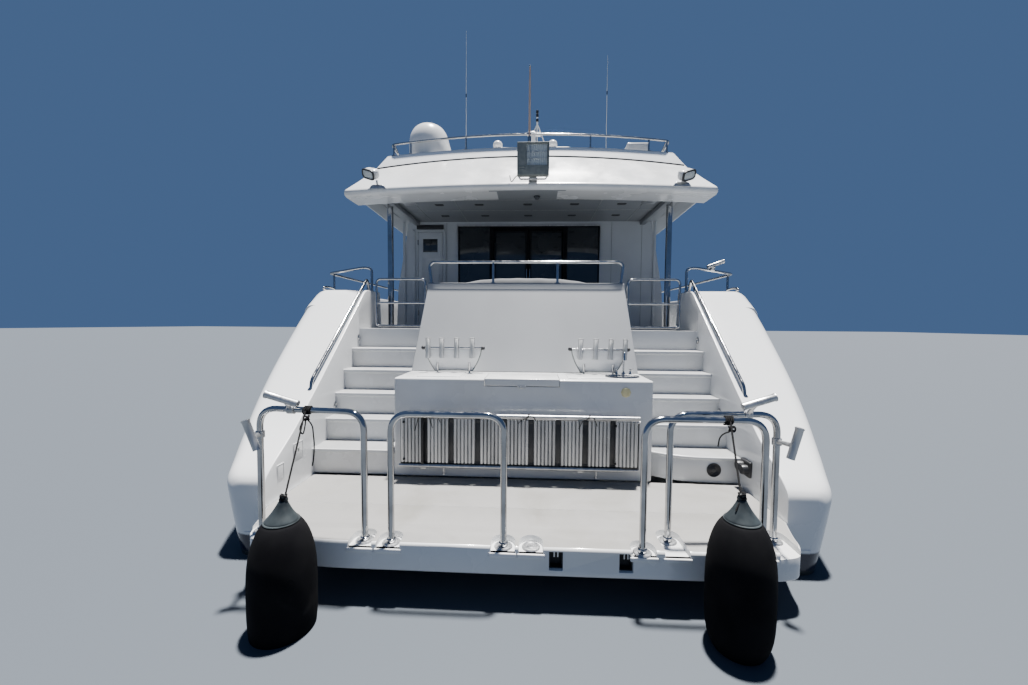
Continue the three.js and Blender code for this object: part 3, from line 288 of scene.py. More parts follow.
def only(thing=None):
    """Selects one object, or nothing, in object mode."""
    if bpy.context.object and bpy.context.object.mode != "OBJECT":
        bpy.ops.object.mode_set(mode="OBJECT")
    bpy.ops.object.select_all(action="DESELECT")
    if thing:
        thing.select_set(True)
        bpy.context.view_layer.objects.active = thing


def modified(thing, kind, **settings):
    only(thing)
    bpy.ops.object.modifier_add(type=kind)
    modifier = thing.modifiers[-1]
    for key, value in settings.items():
        setattr(modifier, key, value)
    bpy.ops.object.modifier_apply(modifier=modifier.name)
    return thing


def eased(thing, width, segments=3, angle=35):
    """Rounds the edges sharper than an angle."""
    return modified(thing, "BEVEL", width=width, segments=segments, limit_method="ANGLE",
                    angle_limit=math.radians(angle), miter_outer="MITER_ARC")


def outward(thing, holes=True):
    """Merges doubles, closes holes and turns all faces outwards."""
    only(thing)
    bpy.ops.object.mode_set(mode="EDIT")
    bpy.ops.mesh.select_all(action="SELECT")
    bpy.ops.mesh.remove_doubles(threshold=2e-5)
    if holes:
        bpy.ops.mesh.select_all(action="SELECT")
        bpy.ops.mesh.fill_holes(sides=0)
    bpy.ops.mesh.select_all(action="SELECT")
    bpy.ops.mesh.normals_make_consistent(inside=False)
    bpy.ops.object.mode_set(mode="OBJECT")
    return thing


def around(steps):
    """Angles once round a circle, both ends included."""
    return [2 * math.pi * i / steps for i in range(steps + 1)]


def oblong(a0, a1, b0, b1):
    return [(a0, b0), (a1, b0), (a1, b1), (a0, b1)]


def settled(thing, matrix=None):
    """Writes an object's place, turn and size into its mesh."""
    only(thing)
    if matrix:
        thing.matrix_world = matrix
    bpy.ops.object.transform_apply(location=True, rotation=True, scale=True)
    return thing


def reshaped(thing, rule):
    """Puts each vertex where a rule on x, y and z says."""
    for vertex in thing.data.vertices:
        vertex.co = rule(*vertex.co)
    return thing


def finished(thing, name, finish, body="yacht", angle=32, node=None):
    """Names a piece, or a list of parts joined into one, gives it its finish and smooth shading, and
    lets it ride on its body, in place of a solid if one is named."""
    if isinstance(thing, list):
        thing = joined(*thing)
    thing.name = thing.data.name = name
    settled(thing)
    thing.data.materials.clear()
    thing.data.materials.append(FINISHES[finish])
    bpy.ops.object.shade_smooth_by_angle(angle=math.radians(angle))
    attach(thing, body)
    if node:
        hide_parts(node)
    return thing


def joined(*things):
    only(things[0])
    for thing in things:
        thing.select_set(True)
    if len(things) > 1:
        bpy.ops.object.join()
    return things[0]


def block(x0, x1, y0, y1, z0, z1, edge=0.008, segments=3):
    only()
    bpy.ops.mesh.primitive_cube_add(size=1, location=((x0 + x1) / 2, (y0 + y1) / 2, (z0 + z1) / 2))
    thing = bpy.context.object
    thing.scale = (abs(x1 - x0), y1 - y0, z1 - z0)
    bpy.ops.object.transform_apply(location=True, rotation=True, scale=True)
    return eased(thing, edge, segments) if edge else thing


def skin(rows, holes=True):
    """A grid laid over rows of points."""
    only()
    bpy.ops.mesh.primitive_grid_add(x_subdivisions=len(rows[0]) - 1, y_subdivisions=len(rows) - 1)
    thing = bpy.context.object
    thing.data.vertices.foreach_set("co", [value for row in rows for point in row for value in point])
    return outward(thing, holes)


TURNS = {
    "X": lambda a, b, c: (c, a, b),
    "Y": lambda a, b, c: (a, c, b),
    "Z": lambda a, b, c: (a, b, c),
}


def plate(outline, low, high, axis="Z", edge=0.006, segments=3):
    """A flat outline carried along an axis between two places."""
    only()
    bpy.ops.mesh.primitive_circle_add(vertices=len(outline), fill_type="NGON")
    thing = bpy.context.object
    for vertex, (a, b) in zip(thing.data.vertices, outline):
        vertex.co = TURNS[axis](a, b, low)
    bpy.ops.object.mode_set(mode="EDIT")
    bpy.ops.mesh.select_all(action="SELECT")
    bpy.ops.mesh.extrude_region_move(TRANSFORM_OT_translate={"value": TURNS[axis](0, 0, high - low)})
    outward(thing)
    return eased(thing, edge, segments) if edge else thing


def blocks(rows, edge=0.008, segments=3):
    return joined(*(block(*row, edge, segments) for row in rows))


def eased_corner(before, corner, after, reach, steps):
    a, b = before - corner, after - corner
    near = min(reach, a.length * 0.48, b.length * 0.48)
    a, b = corner + a.normalized() * near, corner + b.normalized() * near
    return [a * (1 - t) ** 2 + corner * 2 * t * (1 - t) + b * t * t for t in (i / steps for i in range(steps + 1))]


def bent(points, reach, steps=6):
    """A route whose corners become curves."""
    points = [Vector(point) for point in points]
    route = [points[0]]
    for before, corner, after in zip(points, points[1:], points[2:]):
        route += eased_corner(before, corner, after, reach, steps)
    route.append(points[-1])
    return route


def tube(points, radius, bend=0.0, sides=14, steps=6):
    """A round tube along a route; the radius may be one number or one for each point."""
    route = bent(points, bend, steps) if bend else [Vector(point) for point in points]
    radii = radius if isinstance(radius, (list, tuple)) else [radius] * len(route)
    rows = []
    side = None
    for i, point in enumerate(route):
        way = (route[min(i + 1, len(route) - 1)] - route[max(i - 1, 0)]).normalized()
        if side is None:
            side = way.orthogonal().normalized()
        side = (side - way * side.dot(way)).normalized()
        up = way.cross(side)
        rows.append([point + (side * math.cos(angle) + up * math.sin(angle)) * radii[i] for angle in around(sides)])
    return skin(rows)


def lathe(profile, centre=(0, 0, 0), axis="Z", steps=36, squeeze=(1, 1)):
    """A turned piece from [radius, height] points, about an axis through its centre."""
    wide, deep = squeeze
    return skin([[
        Vector(TURNS[axis](radius * math.cos(angle) * wide, radius * math.sin(angle) * deep, z)) + Vector(centre)
        for radius, z in profile] for angle in around(steps)])


def ball(centre, radius, steps=20):
    arc = [(math.sin(math.pi * i / 12) * radius, -math.cos(math.pi * i / 12) * radius) for i in range(13)]
    return lathe(arc, centre, steps=steps)


def cut(thing, *tools):
    """Takes each tool's shape out of a piece."""
    for tool in tools:
        modified(thing, "BOOLEAN", operation="DIFFERENCE", object=tool, solver="EXACT")
        bpy.data.objects.remove(tool)
    return thing

def rounded(outline, reach, steps=5):
    """A closed outline whose corners become curves."""
    points = [Vector(place) for place in outline]
    route = []
    for before, corner, after in zip(points[-1:] + points, points, points[1:] + points[:1]):
        route += [tuple(place) for place in eased_corner(before, corner, after, reach, steps)]
    return route


def both(half):
    """An outline from its half at +X, mirrored."""
    return [tuple(place) for place in half] + [(-x, *rest) for x, *rest in reversed(half) if x]


def copies(make, places):
    """One piece made once and copied, each copy with its own mesh."""
    first = make()
    things = []
    for place in places:
        thing = first.copy()
        thing.data = first.data.copy()
        bpy.context.collection.objects.link(thing)
        thing.location = place
        things.append(thing)
    bpy.data.objects.remove(first)
    group = joined(*things)
    only(group)
    bpy.ops.object.transform_apply(location=True, rotation=True, scale=True)
    return group
def painted(thing, finish, rule):
    """Gives another finish to the faces whose centre and normal fit a rule."""
    thing.data.materials.append(FINISHES[finish])
    for face in thing.data.polygons:
        if rule(face.center, face.normal):
            face.material_index = len(thing.data.materials) - 1


def walked(low):
    """The rule of level faces above a height."""
    return lambda centre, normal: normal.z > 0.98 and centre.z > low


def curve(table, t):
    """A smooth curve through a table of rows, read at its first column."""
    last = len(table) - 1
    i = min(max(next((k for k, row in enumerate(table) if row[0] > t), last) - 1, 0), last - 1)
    a, b = table[i], table[i + 1]
    before, after = table[max(i - 1, 0)], table[min(i + 2, last)]
    span = b[0] - a[0]
    s = (t - a[0]) / span
    values = []
    for p0, p1, p2, p3 in zip(before, a, b, after):
        m1 = (p2 - p0) / (b[0] - before[0]) * span
        m2 = (p3 - p1) / (after[0] - a[0]) * span
        values.append((2 * s ** 3 - 3 * s * s + 1) * p1 + (s ** 3 - 2 * s * s + s) * m1
                      + (3 * s * s - 2 * s ** 3) * p2 + (s ** 3 - s * s) * m2)
    return values


# The hull: stations from aft to forward, in millimetres, with the columns y at the sheer, how far the
# keel lies aft of that, keel height, half width and height of the chine, half width of the topside a
# third of the way up, half width and height of the sheer
STATIONS = [
    (-965, 0, -620, 2330, -262, 2600, 2640, 2520),
    (-500, 0, -640, 2470, -270, 2740, 2790, 2520),
    (0, 0, -670, 2560, -280, 2835, 2905, 2520),
    (600, 0, -700, 2640, -290, 2900, 2980, 2520),
    (1600, 0, -760, 2720, -300, 2970, 3050, 2520),
    (4500, 0, -900, 2800, -310, 3070, 3180, 2540),
    (9000, 0, -1020, 2860, -300, 3130, 3270, 2600),
    (13500, 0, -1060, 2840, -260, 3120, 3310, 2740),
    (17000, 0, -1040, 2650, -180, 2980, 3290, 3050),
    (20000, 100, -1000, 2260, -40, 2690, 3170, 3450),
    (22500, 250, -930, 1720, 140, 2220, 2880, 3700),
    (25000, 500, -800, 1060, 380, 1560, 2320, 3900),
    (27200, 850, -580, 460, 640, 820, 1490, 4050),
    (28700, 1250, -250, 130, 880, 290, 680, 4140),
    (29500, 1700, 300, 15, 1100, 25, 130, 4190),
]
STATIONS = [[value / 1000 for value in row] for row in STATIONS]
Y, RAKE, KEEL, CHINE_HALF, CHINE_Z, SIDE_HALF, SHEER_HALF, SHEER_Z = range(8)

# The stern wings' falling top as [y, z]
WING_AFT, WING_TAPER, WING_END = -0.96, 1.9, 2.6
WING_PROFILE = [
    (-0.965, 0.43), (-0.96, 0.45), (-0.955, 0.6), (-0.94, 0.665), (-0.9, 0.715), (-0.82, 0.775), (-0.64, 0.89),
    (-0.44, 1.025), (-0.2, 1.215), (0.1, 1.455), (1.3, 2.45), (1.36, 2.49), (1.4, 2.508), (1.46, 2.52), (1.6, 2.52)]

SIDE_STEPS, SIDE_TREAD = 4, 0.35
SIDE_DECK_INNER = 2.3
WALL_FOOT, WALL_LEAN, WALL_TALL = 2.2, 0.09, 2.385


def station(y):
    return curve(STATIONS, y)


def half_at(row, z):
    t = min(max((z - row[CHINE_Z]) / (row[SHEER_Z] - row[CHINE_Z]), 0), 1)
    flat = row[CHINE_HALF] * 1.035
    bulge = (row[SIDE_HALF] - flat - (row[SHEER_HALF] - flat) * 0.33) / (0.33 * 0.67)
    return flat + (row[SHEER_HALF] - flat) * t + bulge * t * (1 - t)


def raked(row, x, y, z):
    return (x, y - row[RAKE] * (row[SHEER_Z] - z) / (row[SHEER_Z] - row[KEEL]), z)


def wing_wall(z):
    """Where the wing's inner wall, which leans outboard, stands."""
    return WALL_FOOT + WALL_LEAN * (z - PLATFORM_FOOT) / WALL_TALL


def wall_at(row, y, z):
    """Where the wing's or the bulwark's inner wall stands."""
    stairs = wing_wall(z)
    rail = max(half_at(row, z) - BULWARK, 0)
    t = min(max((y - WING_TAPER) / (WING_END - WING_TAPER), 0), 1)
    return stairs * (1 - t) + rail * t


def deck_levels(y):
    """Height of the side deck and of the deck's middle."""
    if y < DECK_AFT:
        return PLATFORM_FOOT, PLATFORM_FOOT
    if y < HOUSE_FORE:
        return MAIN_DECK, MAIN_DECK
    rise = (FOREDECK - MAIN_DECK) / SIDE_STEPS
    steps = min(int((y - HOUSE_FORE) / SIDE_TREAD), SIDE_STEPS)
    return MAIN_DECK + steps * rise, FOREDECK


# Rounding of the hull's sections: the wings' aft noses, the bow where the deck closes, the small inner
# edge of the bulwark's top, and its outer shoulder, which slims down forward of the wings
NOSE_FROM, NOSE_ROUND = -0.84, 0.12
CLOSED_BOW, INNER_ROUND = 0.28, 0.012
SHOULDER, SHOULDER_LOSS, SHOULDER_FROM, SHOULDER_OVER = 0.16, 0.14, 1.6, 0.9


def quarter(steps):
    """Angles over a quarter of a circle, both ends included."""
    return [math.pi / 2 * i / steps for i in range(steps + 1)]


def hull_row(y):
    """One section of the hull, from the middle of its deck round the keel and back."""
    row = station(y)
    side_deck, middle = deck_levels(y)
    top = curve(WING_PROFILE, y)[1] if y < 1.5 else row[SHEER_Z]
    if y < WING_AFT:
        top = PLATFORM_FOOT
    closed = row[SHEER_HALF] < CLOSED_BOW
    if closed:
        side_deck = middle = top
    d = min(max(NOSE_FROM - y, 0) / NOSE_ROUND, 1)
    narrow = NOSE_ROUND * (1 - math.sqrt(1 - d * d))
    side = lambda z: half_at(row, z) - narrow
    foot, head = wall_at(row, y, side_deck), wall_at(row, y, top)
    if closed:
        foot = head = side(top) * 0.6
    room = top - side_deck
    inner = min(INNER_ROUND, room / 3)
    slimmer = SHOULDER_LOSS * min(max(y - SHOULDER_FROM, 0) / SHOULDER_OVER, 1)
    shoulder = min(SHOULDER - slimmer, room / 3, (side(top) - head) / 3)
    shelf = min(SIDE_DECK_INNER, foot * 0.98)
    half = [(0, middle), (shelf, middle), (shelf, side_deck), (foot, side_deck)]
    half += [(foot + (head - foot) * t, side_deck + room * t) for t in (0.3, 0.65)]
    half += [(head + inner * (1 - math.cos(a)), top - inner * (1 - math.sin(a))) for a in quarter(3)]
    half += [(head + inner + (side(top) - shoulder - head - inner) * t, top) for t in (0.35, 0.7)]
    for a in quarter(6):
        z = top - shoulder * (1 - math.cos(a))
        half.append((side(z) - shoulder * (1 - math.sin(a)), z))
    drop = top - shoulder - row[CHINE_Z]
    for i in range(14, -1, -1):
        z = row[CHINE_Z] + drop * (0.005 + 0.97 * i / 14)
        half.append((side(z), z))
    chine, deep = row[CHINE_HALF] - narrow, row[CHINE_Z] - row[KEEL]
    half.append((chine, row[CHINE_Z]))
    half += [(chine * t, row[KEEL] + deep * t) for t in (0.7, 0.4, 0.12)] + [(0, row[KEEL])]
    half = [raked(row, x, y, z) for x, z in half]
    return half + [(-x, y, z) for x, y, z in reversed(half[:-1])]


def hull_places():
    places = [-0.965, WING_AFT - 0.0002, WING_AFT, -0.9585, -0.957, -0.955, -0.952, -0.948, -0.943, -0.937]
    places += [-0.93, -0.92, -0.91, -0.895, -0.88, -0.86, -0.84, -0.82, -0.78, -0.74, -0.69, -0.64, -0.57, -0.5]
    places += [-0.44 + 0.1 * i for i in range(16)] + [DECK_AFT - 0.0002, DECK_AFT + 0.0002]
    places += [1.18, 1.24, 1.3, 1.33, 1.36, 1.38, 1.4, 1.43, 1.46, 1.5, 1.6, 1.75, 1.9]
    places += [2.0 + 0.1 * i for i in range(7)]
    places += [2.9 + 0.35 * i for i in range(36)]
    for i in range(SIDE_STEPS + 1):
        edge = HOUSE_FORE + i * SIDE_TREAD
        places += [edge - 0.0002, edge + 0.0002]
    places += [17.2 + 0.3 * i for i in range(39)] + [28.8, 29.0, 29.1, 29.2, 29.28, 29.35, 29.42, 29.5]
    return sorted(places)


def make_hull():
    shell = skin([hull_row(y) for y in hull_places()])
    finished(shell, "hull_shell", "hull_paint", angle=34)
    painted(shell, "deck_grip", lambda at, normal: (
        normal.z > 0.98 and MAIN_DECK - 0.01 < at.z < FOREDECK + 0.01 and at.y > DECK_AFT
        and abs(at.x) < wall_at(station(at.y), at.y, at.z) - 0.001))
    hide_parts("hull", *(f"{node}_{side}" for node in ("stern_wing", "bulwark") for side, _ in SIDES))

    keel = [(5.2, -0.7), (6.1, -1.75), (19.5, -1.75), (22.6, -0.85), (22.6, -0.7)]
    finished(plate(keel, -0.095, 0.095, "X", 0.05, 4), "keel_fin", "hull_paint")
    for side, sign in SIDES:
        aft, fore = Vector((sign * 1.35, 4.05, -0.659)), Vector((sign * 1.35, 4.75, -0.561))
        sleeve = tube([aft, aft.lerp(fore, 0.04), aft.lerp(fore, 0.6), fore], [0.07, 0.08, 0.085, 0.11], sides=24)
        finished(sleeve, f"stern_tube_{side}", "hull_paint")


make_hull()


# Swim platform: half of its edge, and a pocket open aft at each hoop's foot
PLATFORM_HALF = [(2.1997, -0.9603, 0), (2.12, -1.18, 0), (2.085, -1.32, 0), (2.03, -1.4, 0), (1.9, -1.438, 0),
                 (1.3, -1.465, 0), (0, -1.47, 0)]
SEAM_Y = -0.86
HOOPS = [
    ("port", (-2.010, -1.285), (-1.150, -1.365)),
    ("centre", (-0.940, -1.385), (-0.095, -1.385)),
    ("starboard_aft", (0.915, -1.410), (1.755, -1.410)),
    ("starboard_fore", (1.150, -1.240), (1.960, -1.190)),
]
HOOP_TOP, HOOP_TUBE, HOOP_BEND = 1.385, 0.0245, 0.15
SPARE_POCKET = (0.11, -1.385)
OUTLETS = (0.29, 0.79)


def platform_edge(x):
    """The aft edge's y at a place across."""
    table = [(abs(px), py) for px, py, _ in reversed(PLATFORM_HALF)]
    for (a, ya), (b, yb) in zip(table, table[1:]):
        if abs(x) <= b:
            return ya + (yb - ya) * (abs(x) - a) / (b - a)
    return table[-1][1]
POCKET_HALF, POCKET_FLOOR = 0.088, PLATFORM_TOP - 0.045


def make_platform():
    half = bent(PLATFORM_HALF, 0.1, 6)
    outline = [(v.x, v.y) for v in half] + [(-v.x, v.y) for v in reversed(half[:-1])]
    outline += [(-2.1997, -0.2003), (2.1997, -0.2003)]
    deck = plate(outline, PLATFORM_FOOT + 0.018, PLATFORM_TOP, edge=0.024, segments=4)
    pockets = [foot for _, *feet in HOOPS for foot in feet] + [SPARE_POCKET]
    for x, y in pockets:
        edge, wide = platform_edge(x), POCKET_HALF
        arc = [(x + wide * math.cos(angle), y + wide * math.sin(angle)) for angle in around(28)[:15]]
        cut(deck, plate(arc + [(x - wide, edge - 0.1), (x + wide, edge - 0.1)], POCKET_FLOOR, 0.6, edge=0))
    for x in OUTLETS:
        cut(deck, block(x - 0.05, x + 0.05, -1.6, -1.36, 0.285, 0.425, 0.006))
    cut(deck, block(-2.6, 2.6, SEAM_Y - 0.002, SEAM_Y + 0.002, PLATFORM_TOP - 0.004, 0.6, 0))
    modified(deck, "BEVEL", width=0.004, segments=2, limit_method="ANGLE", angle_limit=math.radians(50))
    finished(deck, "swim_platform_moulding", "gelcoat", angle=30)
    painted(deck, "platform_grip", walked(PLATFORM_TOP - 0.002))
    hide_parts("swim_platform")
    rim = [(0, 0), (0.066, 0), (0.068, 0.004), (0.062, 0.011), (0.05, 0.013), (0.046, 0.01), (0.03, 0.011),
           (0.024, 0.016), (0, 0.017)]
    for n, (x, y) in enumerate(pockets):
        edge, wide = platform_edge(x), POCKET_HALF + 0.012
        if abs(x) <= 1.9:
            lip = rounded(oblong(x - wide, x + wide, edge - 0.012, edge + 0.03), 0.01, 3)
            finished(plate(lip, POCKET_FLOOR - 0.032, POCKET_FLOOR, segments=2), f"pocket_lip_{n}", "gelcoat")
        finished(lathe(rim, (x, y, POCKET_FLOOR)), f"hoop_base_{n}", "brushed_alloy")
    for n, x in enumerate(OUTLETS):
        back = block(x - 0.049, x + 0.049, -1.44, -1.362, 0.286, 0.424, 0.004)
        cut(back, block(x - 0.04, x + 0.04, -1.5, -1.39, 0.295, 0.415, 0.002))
        finished(back, f"outlet_box_{n}", "black_rubber")
        prongs = [block(x + dx - 0.006, x + dx + 0.006, -1.452, -1.43, 0.375, 0.42, 0.003) for dx in (-0.012, 0.014)]
        bridge = block(x - 0.048, x + 0.048, -1.458, -1.446, 0.415, 0.427, 0.003)
        finished(joined(bridge, *prongs), f"outlet_bracket_{n}", "polished_steel")


def make_hoops():
    collar = [(0.0246, 0), (0.034, 0.002), (0.034, 0.022), (0.0246, 0.028)]
    foot = POCKET_FLOOR + 0.01
    for name, a, b in HOOPS:
        route = [(*a, foot), (*a, HOOP_TOP), (*b, HOOP_TOP), (*b, foot)]
        hoop = joined(tube(route, HOOP_TUBE, HOOP_BEND, sides=20, steps=12),
                      *(lathe(collar, (*place, foot), steps=24) for place in (a, b)))
        finished(hoop, f"hoop_tube_{name}", "polished_steel", angle=40, node=f"hoop_{name}")


def rod_holder(a, b, name):
    """A plain tube open at both ends, with a rolled mouth, held to a rail by a clamp."""
    a, b = Vector(a), Vector(b)
    route = [a.lerp(b, t) for t in (0, 0.04, 0.5, 0.93, 0.95, 0.985, 1, 0.9)]
    radii = [0.0275] * 4 + [0.031] * 2 + [0.026, 0.0235]
    finished(tube(route, radii, sides=20), name, "brushed_alloy", angle=40)


def clamp(name, at, along, towards, wide=0.034):
    """A split clamp: two collars round a tube and a block to what it holds."""
    at, along, towards = Vector(at), Vector(along).normalized(), Vector(towards)
    collar = tube([at - along * 0.028, at - along * 0.026, at + along * 0.026, at + along * 0.028],
                  [wide - 0.006, wide, wide, wide - 0.006], sides=16)
    neck = tube([at, at.lerp(towards, 0.3), at.lerp(towards, 0.75), towards], [0.024, 0.016, 0.018, 0.026], sides=10)
    finished(joined(collar, neck), name, "brushed_alloy", angle=40)


HOLDERS = [
    ("port_bar", (-1.632, -1.40, 1.446), (-1.883, -1.40, 1.517), (-1.735, -1.315, 1.385), (1, 0, 0)),
    ("port_leg", (-1.919, -1.45, 1.108), (-2.005, -1.45, 1.331), (-2.010, -1.285, 1.18), (0, 0, 1)),
    ("starboard_bar", (1.629, -1.33, 1.467), (1.859, -1.33, 1.542), (1.73, -1.205, 1.385), (1, 0, 0)),
    ("starboard_leg", (1.939, -1.39, 1.112), (1.997, -1.39, 1.338), (1.960, -1.19, 1.18), (0, 0, 1)),
]


def make_holders():
    for name, a, b, at, along in HOLDERS:
        rod_holder(a, b, f"rod_holder_{name}")
        clamp(f"holder_clamp_{name}", at, along, Vector(a).lerp(Vector(b), 0.42))


make_platform()
make_hoops()
make_holders()

# Fenders hung from the hoops by black cords

FENDERS = [
    # name, x, height of the foot, height of the shoulder, hoop bar's y, cord's x at the bar, girth, lean
    ("port", -1.556, -0.21, 0.733, -1.327, -1.6, 0.92, 0.016),
    ("starboard", 1.44, -0.085, 0.83, -1.410, 1.49, 0.89, -0.006),
]
FENDER_Y = -1.735
FENDER_SHAPE = [
    (0.001, 0.0), (0.05, 0.004), (0.11, 0.028), (0.16, 0.065), (0.2, 0.125), (0.222, 0.2), (0.23, 0.3), (0.23, 0.5),
    (0.227, 0.6), (0.216, 0.69), (0.196, 0.765), (0.168, 0.83), (0.134, 0.875), (0.118, 0.89)]
NECK_SHAPE = [
    (0.112, 0.885), (0.118, 0.89), (0.116, 0.897), (0.104, 0.91), (0.084, 0.932), (0.066, 0.955), (0.05, 0.98),
    (0.038, 1.0), (0.034, 1.01), (0.026, 1.018), (0.001, 1.022)]


# The cord's slack loops under each bar: whether it comes back, and its offsets across and up
CORD_LOOPS = {
    "port": ((True, ((-0.03, -0.03), (-0.05, -0.09), (-0.02, -0.13), (0.0, -0.06))),
             (False, ((0.05, -0.05), (0.065, -0.2), (0.06, -0.3), (0.05, -0.36)))),
    "starboard": ((False, ((-0.02, -0.02), (-0.06, -0.03), (-0.09, -0.06), (-0.1, -0.12))),),
}
FENDER_TALL = 0.89


def knot(centre, size, turns=3, strand=0.006):
    """A tight round knot of one cord, wound over itself."""
    route = []
    for i in range(turns * 14 + 1):
        a = 2 * math.pi * i / 14
        route.append(Vector(centre) + Vector((
            math.cos(a) * size, math.sin(a) * size * 0.8, math.sin(a * 1.5 + 0.6) * size * 0.75)))
    return tube(route, strand, sides=8)


def make_fender(side, x, foot, shoulder, bar_y, bar_x, girth, lean):
    def sized(profile):
        return [(radius * girth, foot + height * (shoulder - foot) / FENDER_TALL) for radius, height in profile]

    body = lathe(sized(FENDER_SHAPE), (x, FENDER_Y, 0), steps=48)
    modified(body, "SUBSURF", levels=1, render_levels=1)
    finished(body, f"fender_cover_{side}", "fender_cloth", angle=60, node=f"fender_{side}")
    seam = [(radius * girth, z) for radius, z in ((0.119, 0), (0.1215, 0.003), (0.119, 0.006))]
    finished(lathe(seam, (x, FENDER_Y, shoulder - 0.004), steps=48), f"fender_seam_{side}", "fender_rubber")
    neck = lathe(sized(NECK_SHAPE), (x, FENDER_Y, 0), steps=32, squeeze=(1, 0.9))
    modified(neck, "SUBSURF", levels=1, render_levels=1)
    reshaped(neck, lambda a, b, c: (a + lean * max(c - shoulder, 0) / 0.16, b, c))
    finished(neck, f"fender_neck_{side}", "fender_rubber", angle=60)
    top = foot + 1.012 * (shoulder - foot) / FENDER_TALL
    x += lean
    eye = lathe([(0.012, -0.012), (0.026, -0.012), (0.03, 0), (0.026, 0.012), (0.012, 0.012), (0.008, 0)],
                (x, FENDER_Y, top + 0.012), "Y", 20)
    finished(eye, f"fender_eye_{side}", "fender_rubber")
    bar = Vector((bar_x, bar_y, HOOP_TOP))
    start, end = bar + Vector((0, -0.034, 0.0)), Vector((x, FENDER_Y, top - 0.007))
    route = [start.lerp(end, t / 12) for t in range(13)]
    cord = tube(route, 0.0065, sides=8)
    finished(cord, f"fender_cord_{side}", "black_cord", angle=60)
    wound = []
    for dx in (-0.022, -0.008, 0.008, 0.021):
        wound.append(tube([bar + Vector((dx + 0.004 * math.sin(a), math.cos(a) * 0.03, math.sin(a) * 0.03))
                           for a in around(16)], 0.0055, sides=8))
    wound += [knot(bar + Vector((0.01, -0.04, -0.05)), 0.021), knot(end + Vector((0, 0, 0.036)), 0.02)]
    low = bar + Vector((0.01, -0.045, -0.05))
    for comes_back, loop in CORD_LOOPS[side]:
        way = [low] + [low + Vector((dx, -0.004 * k, dz)) for k, (dx, dz) in enumerate(loop)]
        wound.append(tube(way + [low] * comes_back, 0.005, 0.06, sides=8))
    finished(wound, f"fender_knots_{side}", "black_cord", angle=60)
    hang = [end + Vector(step) for step in ((0, 0, 0.02), (-0.03, -0.02, -0.01), (-0.05, -0.03, -0.05))]
    finished(tube(hang, 0.005, 0.03, sides=8), f"fender_tail_{side}", "black_cord", angle=60)


for fender in FENDERS:
    make_fender(*fender)

# Stern stairs with nosed treads

STAIR_FRONTS = (-0.2, 0.11, 0.35, 0.59, 0.85)
FIRST_STEP, STEP_RISE = 0.72, 0.25
STAIR_INNER = 1.3303
STEP_CURVE = [(1.331, -0.01), (1.4, -0.055), (1.5, -0.11), (1.64, -0.165), (1.8, -0.192), (1.99, -0.198),
              (2.2, -0.199)]


def stair_wall(z):
    """How far out the stairs reach, a little into the wing's wall."""
    return wing_wall(z) + 0.003


def make_stairs(side, sign):
    foot = PLATFORM_TOP + 0.0004
    parts = []
    for n, front in enumerate(STAIR_FRONTS):
        top = FIRST_STEP + STEP_RISE * n
        low = foot if n == 0 else top - STEP_RISE - 0.01
        last = front + 0.36 if n < 4 else DECK_AFT - 0.0005
        if n == 0 and sign > 0:
            corners = [(2.2, 0.2), (1.331, 0.2)]
            parts.append(plate([(x, y + 0.014) for x, y in STEP_CURVE] + corners, low, top - 0.03))
            parts.append(plate(STEP_CURVE + corners, top - 0.036, top, edge=0.012, segments=4))
            continue
        profile = [(front + 0.022, low), (front + 0.014, top - 0.045), (front + 0.001, top - 0.04),
                   (front, top - 0.002), (last, top), (last, low)]
        parts.append(plate(profile, STAIR_INNER, 2.2, "X", edge=0.01, segments=4))
    wedge = [(0.1, foot), (0.14, 0.7), (0.6, 1.2), (0.86, 1.44), (1.0995, 1.68), (1.0995, foot)]
    parts.append(plate(wedge, STAIR_INNER + 0.002, 2.198, "X", edge=0))
    stairs = reshaped(joined(*parts), lambda x, y, z: (
        sign * (x + (stair_wall(z) - 2.2 if x > 2.1 else 0)), y, z))
    if sign < 0:
        outward(stairs, holes=False)
    finished(stairs, f"stern_steps_{side}", "gelcoat", angle=30)
    painted(stairs, "deck_grip", walked(0.6))
    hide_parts(f"stern_stairs_{side}")


def oval_lamp(name, x, y, z, wide=0.03, tall=0.045):
    """A courtesy light on the wing's inner wall: a chrome oval with a pale lens."""
    out = -math.copysign(1, x)
    for label, finish, profile in (
            ("rim", "polished_steel",
             [(0.55, 0.0), (1.0, 0.0), (1.0, 0.006), (0.8, 0.012), (0.62, 0.012), (0.55, 0.006)]),
            ("lens", "lamp_lens", [(0.0001, 0.009), (0.3, 0.009), (0.5, 0.007), (0.62, 0.003)])):
        thing = reshaped(lathe(profile, (0, 0, 0), "X", 28),
                         lambda a, b, c: (x + out * a, y + b * wide, z + c * tall))
        finished(outward(thing), f"{name}_{label}", finish)


